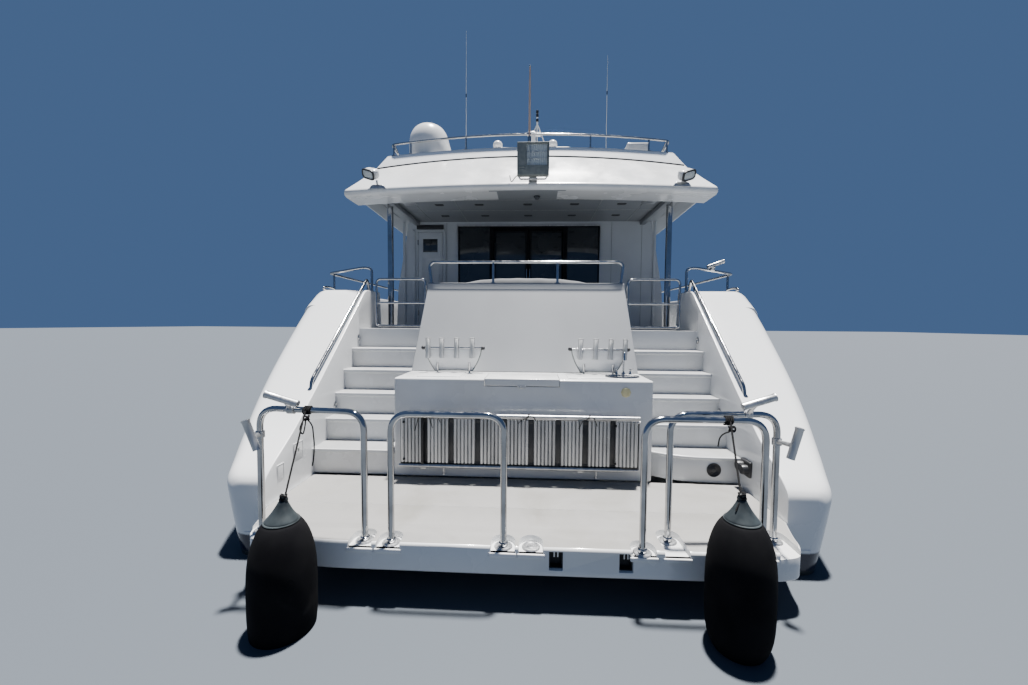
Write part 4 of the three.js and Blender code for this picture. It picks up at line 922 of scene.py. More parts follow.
def make_stair_fittings():
    for side, sign in SIDES:
        for n, (y, z) in enumerate(((1.06, 1.85), (0.33, 1.07))):
            oval_lamp(f"courtesy_lamp_{side}_{n}", sign * (stair_wall(z) - 0.005), y, z)
    rings = [(0.001, 0.0), (0.07, 0.0), (0.072, -0.006), (0.066, -0.01), (0.06, -0.008), (0.056, -0.004),
             (0.05, -0.009), (0.044, -0.004), (0.036, -0.009), (0.028, -0.004), (0.018, -0.01), (0.001, -0.011)]
    finished(lathe(rings, (1.955, -0.184, 0.585), "Y", 40), "speaker_grille", "dark_frame", angle=24)
    wall = stair_wall(0.65)
    socket = [(0.001, -0.055), (0.042, -0.055), (0.046, -0.045), (0.046, 0)]
    inlet = joined(block(wall - 0.03, wall + 0.01, -0.4, -0.225, 0.585, 0.74, 0.012),
                   *(lathe(socket, (wall - 0.03, y, z), "X", 24) for y, z in ((-0.355, 0.66), (-0.272, 0.672))))
    finished(inlet, "shore_power_inlet", "dark_frame")
    for label, y0, y1, z0, z1 in (("hatch", -0.52, -0.36, 0.6, 0.86), ("cover", -0.78, -0.68, 0.52, 0.74)):
        face = stair_wall((z0 + z1) / 2)
        border = block(-face, -face + 0.006, y0, y1, z0, z1, 0.002)
        cut(border, block(-face + 0.002, -face + 0.01, y0 + 0.006, y1 - 0.006, z0 + 0.006, z1 - 0.006, 0))
        inner = block(-face - 0.001, -face + 0.005, y0 + 0.012, y1 - 0.012, z0 + 0.012, z1 - 0.012, 0.002)
        finished(joined(border, inner), f"wing_{label}", "gelcoat")
    wall = -stair_wall(0.78)
    pull = plate([(-0.46, 0.8), (-0.42, 0.8), (-0.44, 0.76)], wall + 0.004, wall + 0.01, "X", 0.002)
    finished(pull, "wing_hatch_pull", "grey_casting")


for side, sign in SIDES:
    make_stairs(side, sign)
make_stair_fittings()

# Stern locker with its lid, and the sloping transom panel above it

LOCKER_HALF, LOCKER_TOP = 1.33, 1.485


def make_locker():
    foot = PLATFORM_TOP + 0.0004
    body = block(-LOCKER_HALF, LOCKER_HALF, -0.2, 0.4, foot, LOCKER_TOP, 0.02, 5)
    cut(body, block(-0.389, 0.389, -0.3, 0.249, 1.407, 1.6, 0.003), block(-0.33, 0.33, -0.13, 0.19, 1.05, 1.5, 0.03))
    base = block(-LOCKER_HALF + 0.002, LOCKER_HALF - 0.002, 0.38, 1.0995, foot, 1.45, 0.004)
    moulding = finished(joined(body, base), "locker_moulding", "gelcoat", angle=30, node="stern_locker")

    lid = cut(block(-0.385, 0.385, -0.2, 0.245, 1.412, 1.49, 0.009, 4),
              block(-0.34, 0.34, -0.14, 0.2, 1.40, 1.43, 0.004))
    finished(lid, "lid_moulding", "gelcoat", "locker_lid", 30, "locker_lid")
    latch = rounded([(-0.048, 1.418), (0.048, 1.418), (0.038, 1.392), (-0.038, 1.392)], 0.008, 3)
    finished(plate(latch, -0.214, -0.2, "Y", 0.004, 2), "lid_latch", "brushed_alloy", "locker_lid")
    for name, x0, x1 in (("port", -1.12, -0.66), ("starboard", 0.48, 0.88)):
        board = block(x0, x1, -0.1, 0.28, LOCKER_TOP - 0.004, LOCKER_TOP + 0.008, 0.005)
        finished(board, f"counter_board_{name}", "gelcoat")
    cap = lathe([(0.001, -0.012), (0.03, -0.011), (0.043, -0.009), (0.047, -0.004), (0.052, -0.003), (0.052, 0.002)],
                (1.055, -0.2, 1.365), "Y", 8)
    finished(cap, "deck_filler_cap", "cream_plastic", angle=20)

    sink = {"centre": (1.08, 0.1, LOCKER_TOP), "squeeze": (1.15, 0.85)}
    cut(moulding, lathe([(0.001, -0.07), (0.14, -0.07), (0.14, 0.1), (0.001, 0.1)], steps=32, **sink))
    rim = [(0.13, 0.004), (0.155, 0.004), (0.16, 0.009), (0.155, 0.014), (0.135, 0.014), (0.125, 0.008),
           (0.115, -0.03), (0.07, -0.05), (0.001, -0.052), (0.001, -0.058), (0.08, -0.056), (0.125, -0.03)]
    finished(lathe(rim, steps=40, **sink), "sink_basin", "polished_steel", angle=40)
    x, y, top = 1.13, 0.27, LOCKER_TOP
    spout = [(x, y, top), (x, y, 1.74), (x - 0.02, y - 0.12, 1.76), (x - 0.02, y - 0.13, 1.66)]
    parts = [tube(spout, 0.011, 0.09, steps=9),
             lathe([(0.001, 0), (0.028, 0), (0.028, 0.006), (0.016, 0.03), (0.011, 0.034)], (x, y, top))]
    tap = [(0.001, 0), (0.022, 0), (0.022, 0.005), (0.011, 0.02), (0.012, 0.05), (0.018, 0.056), (0.012, 0.066),
           (0.001, 0.068)]
    for dx in (-0.075, 0.075):
        parts.append(lathe(tap, (x + dx, y, top), steps=20))
        parts.append(tube([(x + dx, y, top + 0.055), (x + dx * 1.3, y - 0.05, top + 0.075)], [0.007, 0.004], sides=10))
    finished(parts, "faucet", "polished_steel", angle=40)


PANEL = {"low": 1.4853, "top": 2.58, "foot_half": 1.33, "top_half": 1.275}


def make_panel():
    low, top, wide = PANEL["low"], PANEL["top"], PANEL["foot_half"]
    profile = [(0.401, low), (0.93, 2.47), (0.945, 2.5), (0.955, 2.57), (0.97, top), (1.0995, top), (1.0995, low)]
    panel = reshaped(plate(profile, -1, 1, "X", edge=0), lambda x, y, z: (
        x * (wide - (wide - PANEL["top_half"]) * ((z - low) / (top - low))), y, z))
    eased(panel, 0.022, 5, 20)
    # The panel gets a dark grey in place of white: painted shade on its slope.
    finished(panel, "transom_moulding", "transom_panel_painted_shade", angle=30, node="transom_panel")
    parts = [tube([(-1.24, 1.0, top), (-1.27, 1.0, 2.855), (1.27, 1.0, 2.855), (1.24, 1.0, top)], 0.0185, 0.09,
                  sides=16, steps=8)]
    parts += [tube([(x, 1.0, top), (x, 1.0, 2.85)], 0.0165) for x in (-0.42, 0.42)]
    parts += [lathe([(0.001, 0), (0.036, 0), (0.036, 0.006), (0.02, 0.012), (0.018, 0.02)], (x, 1.0, top), steps=24)
              for x in (-1.24, -0.42, 0.42, 1.24)]
    finished(parts, "transom_rail_tube", "polished_steel", angle=40, node="transom_rail")


make_locker()
make_panel()

# Gangway stowed across the locker, and the rod stations above it

GANGWAY = {"x": -1.225, "pitch": 0.27, "wide": 0.222, "panels": 9, "low": 0.64, "top": 1.09, "y": -0.305}


def gangway_panel():
    """One pressed panel of rounded ridges."""
    wide, ridges, steps = GANGWAY["wide"], 6, 8
    front = [(wide * (r + i / steps) / ridges, -0.02 * math.sin(math.pi * (i / steps)) ** 0.7)
             for r in range(ridges) for i in range(steps + (r == ridges - 1))]
    outline = [(x, GANGWAY["y"] + y) for x, y in front + [(wide, 0.012), (0, 0.012)]]
    return plate(outline, GANGWAY["low"], GANGWAY["top"], "Z", edge=0)


def make_gangway():
    places = [(GANGWAY["x"] + GANGWAY["pitch"] * n, 0, 0) for n in range(GANGWAY["panels"])]
    finished(copies(gangway_panel, places), "gangway_panels", "brushed_alloy", angle=50, node="gangway")
    end = GANGWAY["x"] + GANGWAY["pitch"] * GANGWAY["panels"]
    rails = [tube([(x0, y, z), (x1, y, z)], radius, sides=sides) for x0, x1, y, z, radius, sides in (
        (-1.24, 1.17, -0.318, 1.127, 0.019, 16), (-1.24, 1.0, -0.318, 0.606, 0.019, 16),
        (0.98, 1.16, -0.3, 0.6, 0.013, 12), (0.95, 1.18, -0.3, 1.085, 0.012, 12))]
    finished(rails, "gangway_rails", "brushed_alloy", angle=40)
    # Dark stringers, and a dark sheet behind the panels that shows through their gaps as painted shade.
    stringers = [block(-1.235, end - 0.03, y0, y1, z0, z1, edge) for y0, y1, z0, z1, edge in (
        (-0.296, -0.276, 1.05, 1.1, 0.006), (-0.296, -0.276, 0.6, 0.65, 0.006), (-0.292, -0.28, 0.64, 1.06, 0.003))]
    finished(stringers, "gangway_web_and_gap_shade", "dark_frame")
    foot = [(0.001, 0), (0.016, 0), (0.016, 0.012), (0.009, 0.02), (0.009, 0.07)]
    feet = [lathe(foot, (x, -0.318, 0.522), steps=14) for x in (-0.78, 0.75)]
    feet += [block(x - 0.03, x + 0.03, -0.3, -0.2, z, z + 0.03, 0.004) for z in (0.56, 1.09) for x in (-1.0, 0.6)]
    finished(feet, "gangway_feet", "brushed_alloy")
    stud = [(0.001, -0.012), (0.008, -0.01), (0.012, -0.004), (0.012, 0.004)]
    ties = [lathe(stud, (x, GANGWAY["y"] - 0.016, z), "Y", 14) for x in (-1.19, 0.935) for z in (0.67, 1.05)]
    ties.append(block(-1.012, -0.988, -0.33, -0.3, 0.6, 1.1, 0.004))
    for x, low in ((-0.98, 1.0), (-0.9, 1.06), (0.06, 1.09), (0.66, 1.05)):
        ties.append(tube([(x + 0.02 * math.sin(a), -0.318 + 0.024 * math.cos(a), 1.127 + 0.024 * math.sin(a))
                          for a in around(14)], 0.0055, sides=8))
        for way, knee, end_z in ((1, 1.15, low), (-1, 1.11, low - 0.03)):
            ties.append(tube([(x, -0.345, 1.12), (x + 0.05 * way, -0.348, knee), (x + 0.09 * way, -0.344, end_z)],
                             0.0045, 0.03, sides=8))
    finished(ties, "gangway_ties", "black_rubber", angle=50)


ROD_STATIONS = [
    ("port", -1.15, -0.46, (-1.093, -0.933, -0.763, -0.583)),
    ("starboard", 0.53, 1.18, (0.646, 0.815, 0.983, 1.141)),
]


def make_rod_station(side, x0, x1, tubes):
    bar = tube([(x0, 0.27, 1.77), (x1, 0.27, 1.77)], 0.011)
    finished(bar, f"rod_bar_{side}", "polished_steel", node=f"rod_station_{side}")
    knobs = joined(*(ball((x, 0.27, 1.77), 0.024, 18) for x in (x0, x1)))
    finished(knobs, f"rod_bar_knobs_{side}", "dark_frame", angle=60)
    for n, x in enumerate(tubes):
        rod_holder((x - 0.004, 0.262, 1.655), (x + 0.004, 0.248, 1.89), f"rod_tube_{side}_{n}")
    rows = []
    for t in (i / 8 for i in range(9)):
        inset = 0.02 + 0.11 * t ** 1.6
        rows.append([(x0 + inset + (x1 - x0 - 2 * inset) * s, 0.285 + 0.03 * t - 0.018 * math.sin(math.pi * s),
                      1.762 - 0.262 * t + 0.03 * (t ** 3) * (1 - (2 * s - 1) ** 4) * 0.6)
                     for s in (j / 12 for j in range(13))])
    board = modified(skin(rows, holes=False), "SOLIDIFY", thickness=0.01, offset=0)
    finished(eased(board, 0.003, 2, 60), f"rod_board_{side}", "gelcoat", angle=50)
    edges = [tube([row[j] for row in rows], 0.008, sides=10) for j in (0, 12)] + [tube(rows[8], 0.007, sides=10)]
    finished(edges, f"rod_board_edge_{side}", "grey_casting", angle=50)
    legs = [tube([(x, 0.3, 1.4853), (x, 0.29, 1.6)], 0.012, sides=12) for x in (x0 + 0.16, x1 - 0.16)]
    finished(legs, f"rod_board_legs_{side}", "polished_steel")


make_gangway()
for station_row in ROD_STATIONS:
    make_rod_station(*station_row)

# Handrails on the wings, the gates and the side rails

RAIL = 0.019


def rail_foot(place, reach=0.03):
    return lathe([(0.001, 0), (reach, 0), (reach, 0.005), (0.022, 0.01), (0.02, 0.018)], place, steps=20)


def make_wing_rails(side, sign):
    route = [(2.31, -0.04, 1.33), (2.31, -0.02, 1.42), (2.335, 1.53, 2.69), (2.335, 1.61, 2.525)]
    rail = tube([(sign * x, y, z) for x, y, z in route], RAIL, 0.05, sides=18, steps=7)
    foot = rail_foot((sign * 2.335, 1.61, 2.521))
    boss = tube([(sign * 2.31, -0.05, 1.31), (sign * 2.31, -0.042, 1.335)], [0.032, 0.022], sides=18)
    finished(joined(rail, boss, foot), f"wing_handrail_{side}", "polished_steel", angle=40, node=f"stair_rail_{side}")


GATE = {"hinge": 2.085, "inner": 1.39, "y": 1.26, "foot": 2.01, "middle": 2.33, "top": 2.66, "tube": 0.016}


def make_gate(side, sign):
    hinge, inner, foot, tall = GATE["hinge"] * sign, GATE["inner"] * sign, GATE["foot"], GATE["top"]
    at = lambda x, z: (x, GATE["y"], z)
    ring_route = [at(hinge, foot + 0.1), at(hinge, foot), at(inner, foot), at(inner, tall), at(hinge, tall),
                  at(hinge, foot + 0.098)]
    bar = [at(hinge, GATE["middle"]), at(inner, GATE["middle"])]
    frame_tubes = joined(tube(ring_route, GATE["tube"], 0.07, sides=16, steps=8),
                         tube(bar, GATE["tube"] * 0.9, sides=16))
    finished(frame_tubes, f"gate_frame_{side}", "polished_steel", f"stern_gate_{side}", 40, f"stern_gate_{side}")


SIDE_RAIL = {"height": 0.27, "inset": 0.075, "from": 1.7, "to": 19.0, "posts": 12}


def make_side_rail(side, sign):
    first, tall = SIDE_RAIL["from"], SIDE_RAIL["height"]

    def under(y):
        """The sheer below the rail."""
        row = station(y)
        return sign * (row[SHEER_HALF] - SIDE_RAIL["inset"]), y, row[SHEER_Z]

    along = lambda share: first + (SIDE_RAIL["to"] - first) * share
    top = [(x, y, z + tall) for x, y, z in (under(along(i / 40)) for i in range(41))]
    start = [(sign * 2.33, first, 2.525), (sign * 2.33, first, 2.865), (sign * 2.45, first, 2.88)]
    parts = [tube(start + top, RAIL, 0.07, steps=4)]
    posts = SIDE_RAIL["posts"]
    for x, y, z in [under(first + 0.15)] + [under(along(n / (posts - 1))) for n in range(1, posts)]:
        parts.append(tube([(x, y, z - 0.002), (x, y, z + tall)], RAIL * 0.85, sides=12))
        parts.append(rail_foot((x, y, z - 0.001)))
    parts.append(rail_foot((sign * 2.33, first, 2.521)))
    finished(parts, f"side_rail_tube_{side}", "polished_steel", angle=40, node=f"side_rail_{side}")


for side, sign in SIDES:
    make_wing_rails(side, sign)
    make_gate(side, sign)
    make_side_rail(side, sign)
rod_holder((2.60, 1.64, 2.885), (2.83, 1.64, 2.965), "rod_holder_crossbar")
clamp("holder_clamp_crossbar", (2.69, 1.7, 2.86), (1, 0, -0.1), (2.69, 1.64, 2.9))


# Boat deck: sloping edges, a crowned lip and a low coaming aft

DECK_PLAN = [(1.95, 2.77), (5.3, 2.88), (9.0, 2.9), (13.0, 2.88), (15.4997, 2.78)]
LIP = {"foot_half": 2.77, "top_half": 2.49, "groove": 2.36, "fore": 2.47}
COAMING = {"aft": 2.376, "rake": 0.1, "fore": 2.548, "half": 2.345}
DECK_END = 15.4997


def crowned(mid, edge):
    """A height that falls from the middle to both sides, by the place t from -1 to 1."""
    return lambda t: mid - (mid - edge) * t * t


lip_foot, lip_top, coaming_top = crowned(4.045, 3.965), crowned(4.75, 4.58), crowned(4.965, 4.845)


def across_deck(section_at, half_at_height):
    """A closed section in y and z, carried from side to side."""
    rows = []
    for t in (i / 24 - 1 for i in range(49)):
        section = section_at(t)
        rows.append([(t * half_at_height(t, z), y, z) for y, z in section + section[:1]])
    return skin(rows)


def lip_section(t):
    low, top, groove, under = lip_foot(t), lip_top(t), LIP["groove"], SOFFIT - 0.0005
    return [
        (LIP["fore"], under), (2.262, under), (2.25, min(low - 0.002, under)), (1.85, low - 0.004), (1.81, low),
        (1.782, low + 0.014), (1.765, low + 0.036), (1.76, low + 0.058), (1.763, low + 0.078), (1.774, low + 0.096),
        (1.795, low + 0.114), (2.0, low + 0.114 + (top - low - 0.129) * 0.365), (groove - 0.03, top - 0.018),
        (groove - 0.012, top - 0.005), (groove + 0.008, top), (LIP["fore"], top)]


def lip_half(t, z):
    low = lip_foot(t)
    rise = max(z - low - 0.06, 0) / (lip_top(t) - low - 0.06)
    return LIP["foot_half"] + (LIP["top_half"] - LIP["foot_half"]) * rise


def coaming_section(t):
    top, foot, aft, fore = coaming_top(t), lip_top(t) - 0.03, COAMING["aft"], COAMING["fore"]
    head = aft + COAMING["rake"]
    return [(aft - 0.008, foot), (head - 0.008, top - 0.025), (head, top - 0.007), (head + 0.014, top),
            (fore - 0.02, top), (fore, top - 0.02), (fore, foot)]


def make_boat_deck():
    rows = []
    for y in (2.46 + (DECK_END - 2.46) * i / 24 for i in range(25)):
        half = curve(DECK_PLAN, y)[1]
        row = [(0, SOFFIT), (half - 0.05, SOFFIT), (half - 0.015, SOFFIT + 0.012), (half, SOFFIT + 0.045),
               (half - 0.004, 4.13), (half - 0.04, 4.17), (2.50, 4.55), (2.47, 4.566), (2.43, BOAT_DECK),
               (0, BOAT_DECK)]
        row = [(min(x, half), y, z) for x, z in row]
        rows.append(row + [(-x, y, z) for x, y, z in reversed(row[1:-1])] + [row[0]])
    slab = skin(rows)
    lip = across_deck(lip_section, lip_half)
    coaming = across_deck(coaming_section, lambda t, z: COAMING["half"] + 0.14 * (coaming_top(t) - z) / 0.2)
    # A dark strip laid in the groove between lip and coaming: a painted shadow in the groove.
    seam = across_deck(lambda t: [(y, lip_top(t) + dz) for y, dz in (
        (2.358, -0.001), (2.358, 0.024), (2.392, 0.024), (2.392, -0.001))], lambda t, z: LIP["top_half"])
    finished(seam, "coaming_groove_shadow", "dark_frame")
    deck = finished(joined(slab, lip, coaming), "boat_deck_moulding", "gelcoat", angle=28)
    painted(deck, "deck_grip", lambda at, normal: walked(BOAT_DECK - 0.004)(at, normal) and at.y >= 2.49)
    # The soffit's underside gets a dark grey: painted shade under the overhang.
    painted(deck, "soffit_painted_shade", lambda at, normal: normal.z < -0.98 and at.z > SOFFIT - 0.01)
    # The coaming gets a brighter white than the gelcoat: painted sunlight on a face the sun barely reaches.
    painted(deck, "coaming_painted_light", lambda at, normal: (
        at.y < 2.47 and at.z > lip_top(at.x / LIP["top_half"]) + 0.004))
    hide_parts("boat_deck")


SPOTS = [(x, 2.55) for x in (-1.5, -0.82, 0.0, 0.78, 1.56)] + [(x, 3.25) for x in (-1.55, -0.8, 0.0, 0.8, 1.6)]


def spot_light():
    bezel = plate(rounded(oblong(-0.075, 0.075, -0.04, 0.04), 0.02, 3), SOFFIT - 0.007, SOFFIT + 0.002, "Z", 0.003, 2)
    return cut(bezel, plate(rounded(oblong(-0.06, 0.06, -0.026, 0.026), 0.014, 3), 4.0, SOFFIT - 0.002, "Z", 0))


def make_soffit():
    finished(copies(spot_light, [(x, y, 0) for x, y in SPOTS]), "soffit_lights", "dark_frame")
    low, high = SOFFIT - 0.004, SOFFIT + 0.002
    battens = [(-2.35, 2.35, y - 0.004, y + 0.004, low, high) for y in (2.3, 2.9)]
    battens += [(x - 0.003, x + 0.003, 2.3, 3.69, low, high) for x in (-1.9, -1.2, 1.2, 1.9)]
    finished(blocks(battens, 0), "soffit_battens", "brushed_alloy")
    beams = []
    for sign in (-1, 1):
        beam = [(sign * 2.27, 2.27), (sign * 2.18, 2.27), (sign * 2.16, 3.699), (sign * 2.25, 3.699)]
        beams.append(plate(beam, SOFFIT - 0.07, high, "Z", 0.008))
        beams.append(plate(oblong(sign * 2.7, sign * 2.45, 2.5, 3.4), SOFFIT - 0.006, high, "Z", 0.004))
    vents = [plate(rounded(oblong(x - 0.11, x + 0.11, 2.4, 2.56), 0.02, 3), SOFFIT - 0.005, high, "Z", 0.002)
             for x in (-1.98, 1.98)]
    finished(vents, "soffit_vents", "brushed_alloy")
    # The beams take the soffit's dark grey: painted shade.
    finished(beams, "soffit_beams", "soffit_painted_shade")
    at = (0.15, 2.1, lip_foot(0.05) - 0.003)
    dome = joined(lathe([(0.001, 0.0), (0.05, 0.0), (0.05, -0.012), (0.044, -0.016)], at, steps=24),
                  lathe([(0.04, -0.014), (0.038, -0.03), (0.026, -0.046), (0.001, -0.052)], at, steps=24))
    finished(dome, "soffit_camera", "black_glass", angle=50)


def make_floodlight():
    """The large stern floodlight: a cast case, a deep bezel, a ribbed lens and its yoke."""
    x0, x1, z0, z1, y0, y1 = -0.144, 0.318, 4.19, 4.652, 1.598, 1.7
    case = block(x0, x1, y0, y1, z0, z1, 0.014)
    cut(case, block(-0.01, 0.292, y0 - 0.05, y0 + 0.035, z0 + 0.14, z1 - 0.02, 0.01, 2))
    fins = [block(x0 + 0.02, x1 - 0.02, y1 - 0.002, y1 + 0.018, z0 + 0.07 + 0.06 * n, z0 + 0.082 + 0.06 * n, 0.003)
            for n in range(6)]
    ribs = [block(-0.12, -0.03, y0 - 0.008, y0 + 0.002, z, z + 0.012, 0.003) for z in (z0 + 0.11, z0 + 0.07)]
    lip = (y0 - 0.006, y0 + 0.02)
    edge = blocks([(x0, x1, *lip, z1 - 0.012, z1 + 0.003), (x0, x0 + 0.012, *lip, z0, z1),
                   (x1 - 0.012, x1, *lip, z0, z1)], 0.004)
    bolt = [(0.001, -0.008), (0.009, -0.008), (0.011, -0.003), (0.011, 0.003)]
    bolts = [lathe(bolt, (x, y0, z), "Y", 8) for x in (-0.115, 0.295) for z in (z0 + 0.025, z0 + 0.115)]
    finished(joined(case, edge, *fins, *ribs, *bolts), "floodlight_case", "grey_casting")
    lens = skin([[(-0.008 + 0.298 * i / 60, y0 + 0.026 - 0.005 * abs(math.sin(math.pi * i / 6)), z) for i in range(61)]
                 for z in (z0 + 0.142, z0 + 0.24, z0 + 0.34, z1 - 0.022)], holes=False)
    modified(lens, "SOLIDIFY", thickness=0.004, offset=0)
    finished(lens, "floodlight_lens", "lamp_lens", angle=20)
    bars = [(-0.005, 0.287, y0 + 0.008, y0 + 0.014, z - 0.003, z + 0.003) for z in (z0 + 0.24, z0 + 0.33)]
    bars.append((0.042, 0.048, y0 + 0.008, y0 + 0.014, z0 + 0.142, z1 - 0.022))
    finished(blocks(bars, 0.001), "floodlight_grid", "brushed_alloy")
    route = [(-0.12, 1.68, z0 + 0.005), (-0.1, 1.69, z0 - 0.03), (0.27, 1.69, z0 - 0.03), (0.29, 1.68, z0 + 0.005)]
    yoke = joined(
        tube(route, 0.012, 0.03, sides=10), block(0.02, 0.15, 1.66, 1.8, z0 - 0.032, z0 - 0.014, 0.004),
        block(0.03, 0.14, 1.752, 1.772, z0 - 0.03, z0 + 0.09, 0.004),
        block(-0.1, 0.27, 1.67, 1.71, z0 - 0.036, z0 - 0.02, 0.005))
    finished(yoke, "floodlight_yoke", "brushed_alloy")
    lead = [(-0.06, 1.68, 0.05), (-0.16, 1.68, 0.02), (-0.22, 1.7, -0.06), (-0.24, 1.735, -0.04), (-0.26, 1.78, 0.06)]
    finished(tube([(x, y, z0 + dz) for x, y, dz in lead], 0.007, 0.05, sides=8), "floodlight_lead", "black_rubber",
             angle=50)


def make_small_flood(side, sign):
    """A small floodlight on a swivel at the lip's corner, turned outboard and down."""
    oval = lambda a, b, reach: rounded(oblong(-a, a, -b, b), reach, 6)
    body = plate(oval(0.112, 0.072, 0.06), -0.06, 0.07, "Y", 0.045, 6)
    hood = plate(oval(0.07, 0.06, 0.05), 0.0, 0.11, "Y", 0.04, 5)
    bezel = plate(oval(0.122, 0.074, 0.064), -0.078, -0.05, "Y", 0.008)
    cut(bezel, plate(oval(0.1, 0.052, 0.046), -0.1, -0.062, "Y", 0.003, 2))
    glass = plate(oval(0.101, 0.053, 0.046), -0.07, -0.06, "Y", 0.002, 2)
    place = Matrix.Translation((-2.32, 1.7, 4.27) if sign < 0 else (2.28, 1.7, 4.21))
    place = place @ turned(sign * 22, "Z") @ turned(-sign * 20, "Y") @ turned(30, "X")
    x = sign * 2.25
    stem = tube([(x, 1.72, 4.18), (x, 1.74, 4.13), (x, 1.79, 4.12)], 0.016, 0.02, sides=12)
    plinth = plate(rounded([(x - 0.14, 4.055), (x + 0.14, 4.055), (x + 0.09, 4.125), (x - 0.09, 4.125)], 0.03, 4),
                   1.745, 1.82, "Y", 0.008)
    for things, label, finish in (((body, hood), "case", "gelcoat"), ((bezel,), "bezel", "dark_frame"),
                                  ((glass,), "lens", "lamp_lens")):
        finished(settled(joined(*things), place), f"small_floodlight_{label}_{side}", finish)
    finished(joined(stem, plinth), f"small_floodlight_stem_{side}", "brushed_alloy", angle=40)


RAIL_POSTS = (-2.255, -1.965, -1.035, 1.02, 1.965, 2.255)
RAIL_Y = 2.497


def fly_rail_z(x):
    return 5.175 - 0.145 * (x / 2.32) ** 2


def make_deck_rail():
    across = [2.285 * (i / 12 - 1) for i in range(25)]
    bow = [(x, RAIL_Y, fly_rail_z(x)) for x in across]
    ends = [[(sign * 2.44, 5.98, 5.12), (sign * 2.42, 4.0, 5.07), (sign * 2.31, 2.65, 5.035)] for sign in (-1, 1)]
    parts = [tube(ends[0] + bow + ends[1][::-1], 0.0175, 0.06, steps=3)]
    for x in RAIL_POSTS:
        foot = coaming_top(x / COAMING["half"])
        parts.append(tube([(x, RAIL_Y, foot - 0.01), (x, RAIL_Y, fly_rail_z(x))], 0.014, sides=12))
        parts.append(lathe([(0.001, 0), (0.03, 0), (0.03, 0.005), (0.016, 0.012)], (x, RAIL_Y, foot - 0.002), steps=16))
    for sign in (-1, 1):
        brace = [(sign * 2.25, RAIL_Y + 0.01, fly_rail_z(2.25)), (sign * 2.1, 2.85, BOAT_DECK)]
        parts.append(tube(brace, 0.012, sides=12))
        for y, z in ((3.2, 5.048), (4.6, 5.083), (5.9, 5.116)):
            x = sign * (2.31 + min((y - 2.65) * 0.0815, 0.11 + max(y - 4.0, 0) * 0.01))
            parts.append(tube([(x, y, BOAT_DECK - 0.003), (x, y, z)], 0.014, sides=12))
            parts.append(rail_foot((x, y, BOAT_DECK - 0.001)))
    finished(parts, "boat_deck_rail_tube", "polished_steel", angle=40, node="boat_deck_rail")


def make_flagstaff():
    route = [(0.02, 2.4, 4.86), (0.02, 2.398, 5.2), (0.02, 2.38, 5.9), (0.02, 2.373, 6.18)]
    finished(tube(route, [0.019, 0.019, 0.015, 0.012], sides=16), "flagstaff", "varnished_wood", angle=40)
    fittings = [ball((0.02, 2.373, 6.185), 0.017, 16),
                lathe([(0.02, 0), (0.03, 0.002), (0.03, 0.09), (0.02, 0.1)], (0.02, 2.4, 5.0), steps=20)]
    fittings += [block(-0.02, 0.06, 2.385, 2.45, z, z + 0.03, 0.006) for z in (4.955, 5.12)]
    finished(fittings, "flagstaff_fittings", "polished_steel", angle=40)


def make_deck_boxes():
    profile = [(0.001, 0), (0.33, 0), (0.335, 0.01), (0.33, 0.05), (0.33, 0.3), (0.336, 0.4), (0.346, 0.48),
               (0.35, 0.58), (0.342, 0.68), (0.316, 0.775), (0.268, 0.858), (0.2, 0.915), (0.11, 0.95), (0.001, 0.96)]
    dome = reshaped(lathe(profile, (-1.75, 2.875, BOAT_DECK - 0.001), steps=56), lambda x, y, z: (
        x + 0.24 * (max(x + 1.75, 0) / 0.33) * max(1 - (z - BOAT_DECK) / 0.62, 0), y, z))
    modified(dome, "SUBSURF", levels=1, render_levels=1)
    finished(dome, "satellite_radome", "gelcoat", angle=40, node="satellite_dome")
    locker = block(1.71, 2.04, 2.85, 3.15, BOAT_DECK - 0.002, 5.16, 0.03, 4)
    lid = block(1.695, 2.055, 2.835, 3.165, 5.02, 5.17, 0.025, 4)
    finished(joined(locker, lid), "deck_box", "gelcoat")
    small = [(0.001, 0), (0.1, 0), (0.1, 0.3), (0.105, 0.42), (0.095, 0.48), (0.06, 0.52), (0.001, 0.535)]
    finished(lathe(small, (1.52, 3.0, BOAT_DECK), steps=32), "small_radome", "gelcoat", angle=40)


def make_pillars():
    low = [(0.048, 0), (0.085, 0), (0.085, 0.006), (0.056, 0.014), (0.048, 0.03)]
    high = [(0.048, 0), (0.056, -0.012), (0.08, -0.02), (0.08, -0.028), (0.048, -0.028)]
    for side, sign in SIDES:
        x, y = sign * 2.29, 2.4
        post = tube([(x, y, MAIN_DECK + 0.0005), (x, y, SOFFIT - 0.0005)], 0.048, sides=32)
        rings = [lathe(low, (x, y, MAIN_DECK), steps=32), lathe(high, (x, y, SOFFIT + 0.027), steps=32)]
        finished(joined(post, *rings), f"pillar_tube_{side}", "polished_steel", angle=40, node=f"pillar_{side}")


make_boat_deck()
make_soffit()
make_floodlight()
make_deck_rail()
make_flagstaff()
make_deck_boxes()
make_pillars()
for side, sign in SIDES:
    make_small_flood(side, sign)

# Aft bulkhead: the dark saloon doors in their white frame, and the side door

def make_saloon_doors():
    for side, sign in SIDES:
        body = f"saloon_door_{side}"
        x0, x1 = sorted((sign * 0.003, sign * 0.745))
        leaf = cut(block(x0, x1, 3.797, 3.837, 1.99, 3.95, 0.005, 2),
                   block(x0 + 0.055, x1 - 0.055, 3.7, 3.9, 2.06, 3.88, 0.004, 2))
        x = x0 + 0.03 if sign > 0 else x1 - 0.03
        pull = tube([(x, 3.797, 2.75), (x, 3.765, 2.77), (x, 3.765, 3.13), (x, 3.797, 3.15)], 0.009, 0.02, sides=10)
        finished(leaf, f"saloon_door_leaf_{side}", "dark_profile", body, node=body)
        finished(pull, f"saloon_door_pull_{side}", "polished_steel", body)
        glass = block(x0 + 0.05, x1 - 0.05, 3.81, 3.824, 2.055, 3.885, 0.002)
        finished(glass, f"saloon_door_glass_{side}", "black_glass", body)


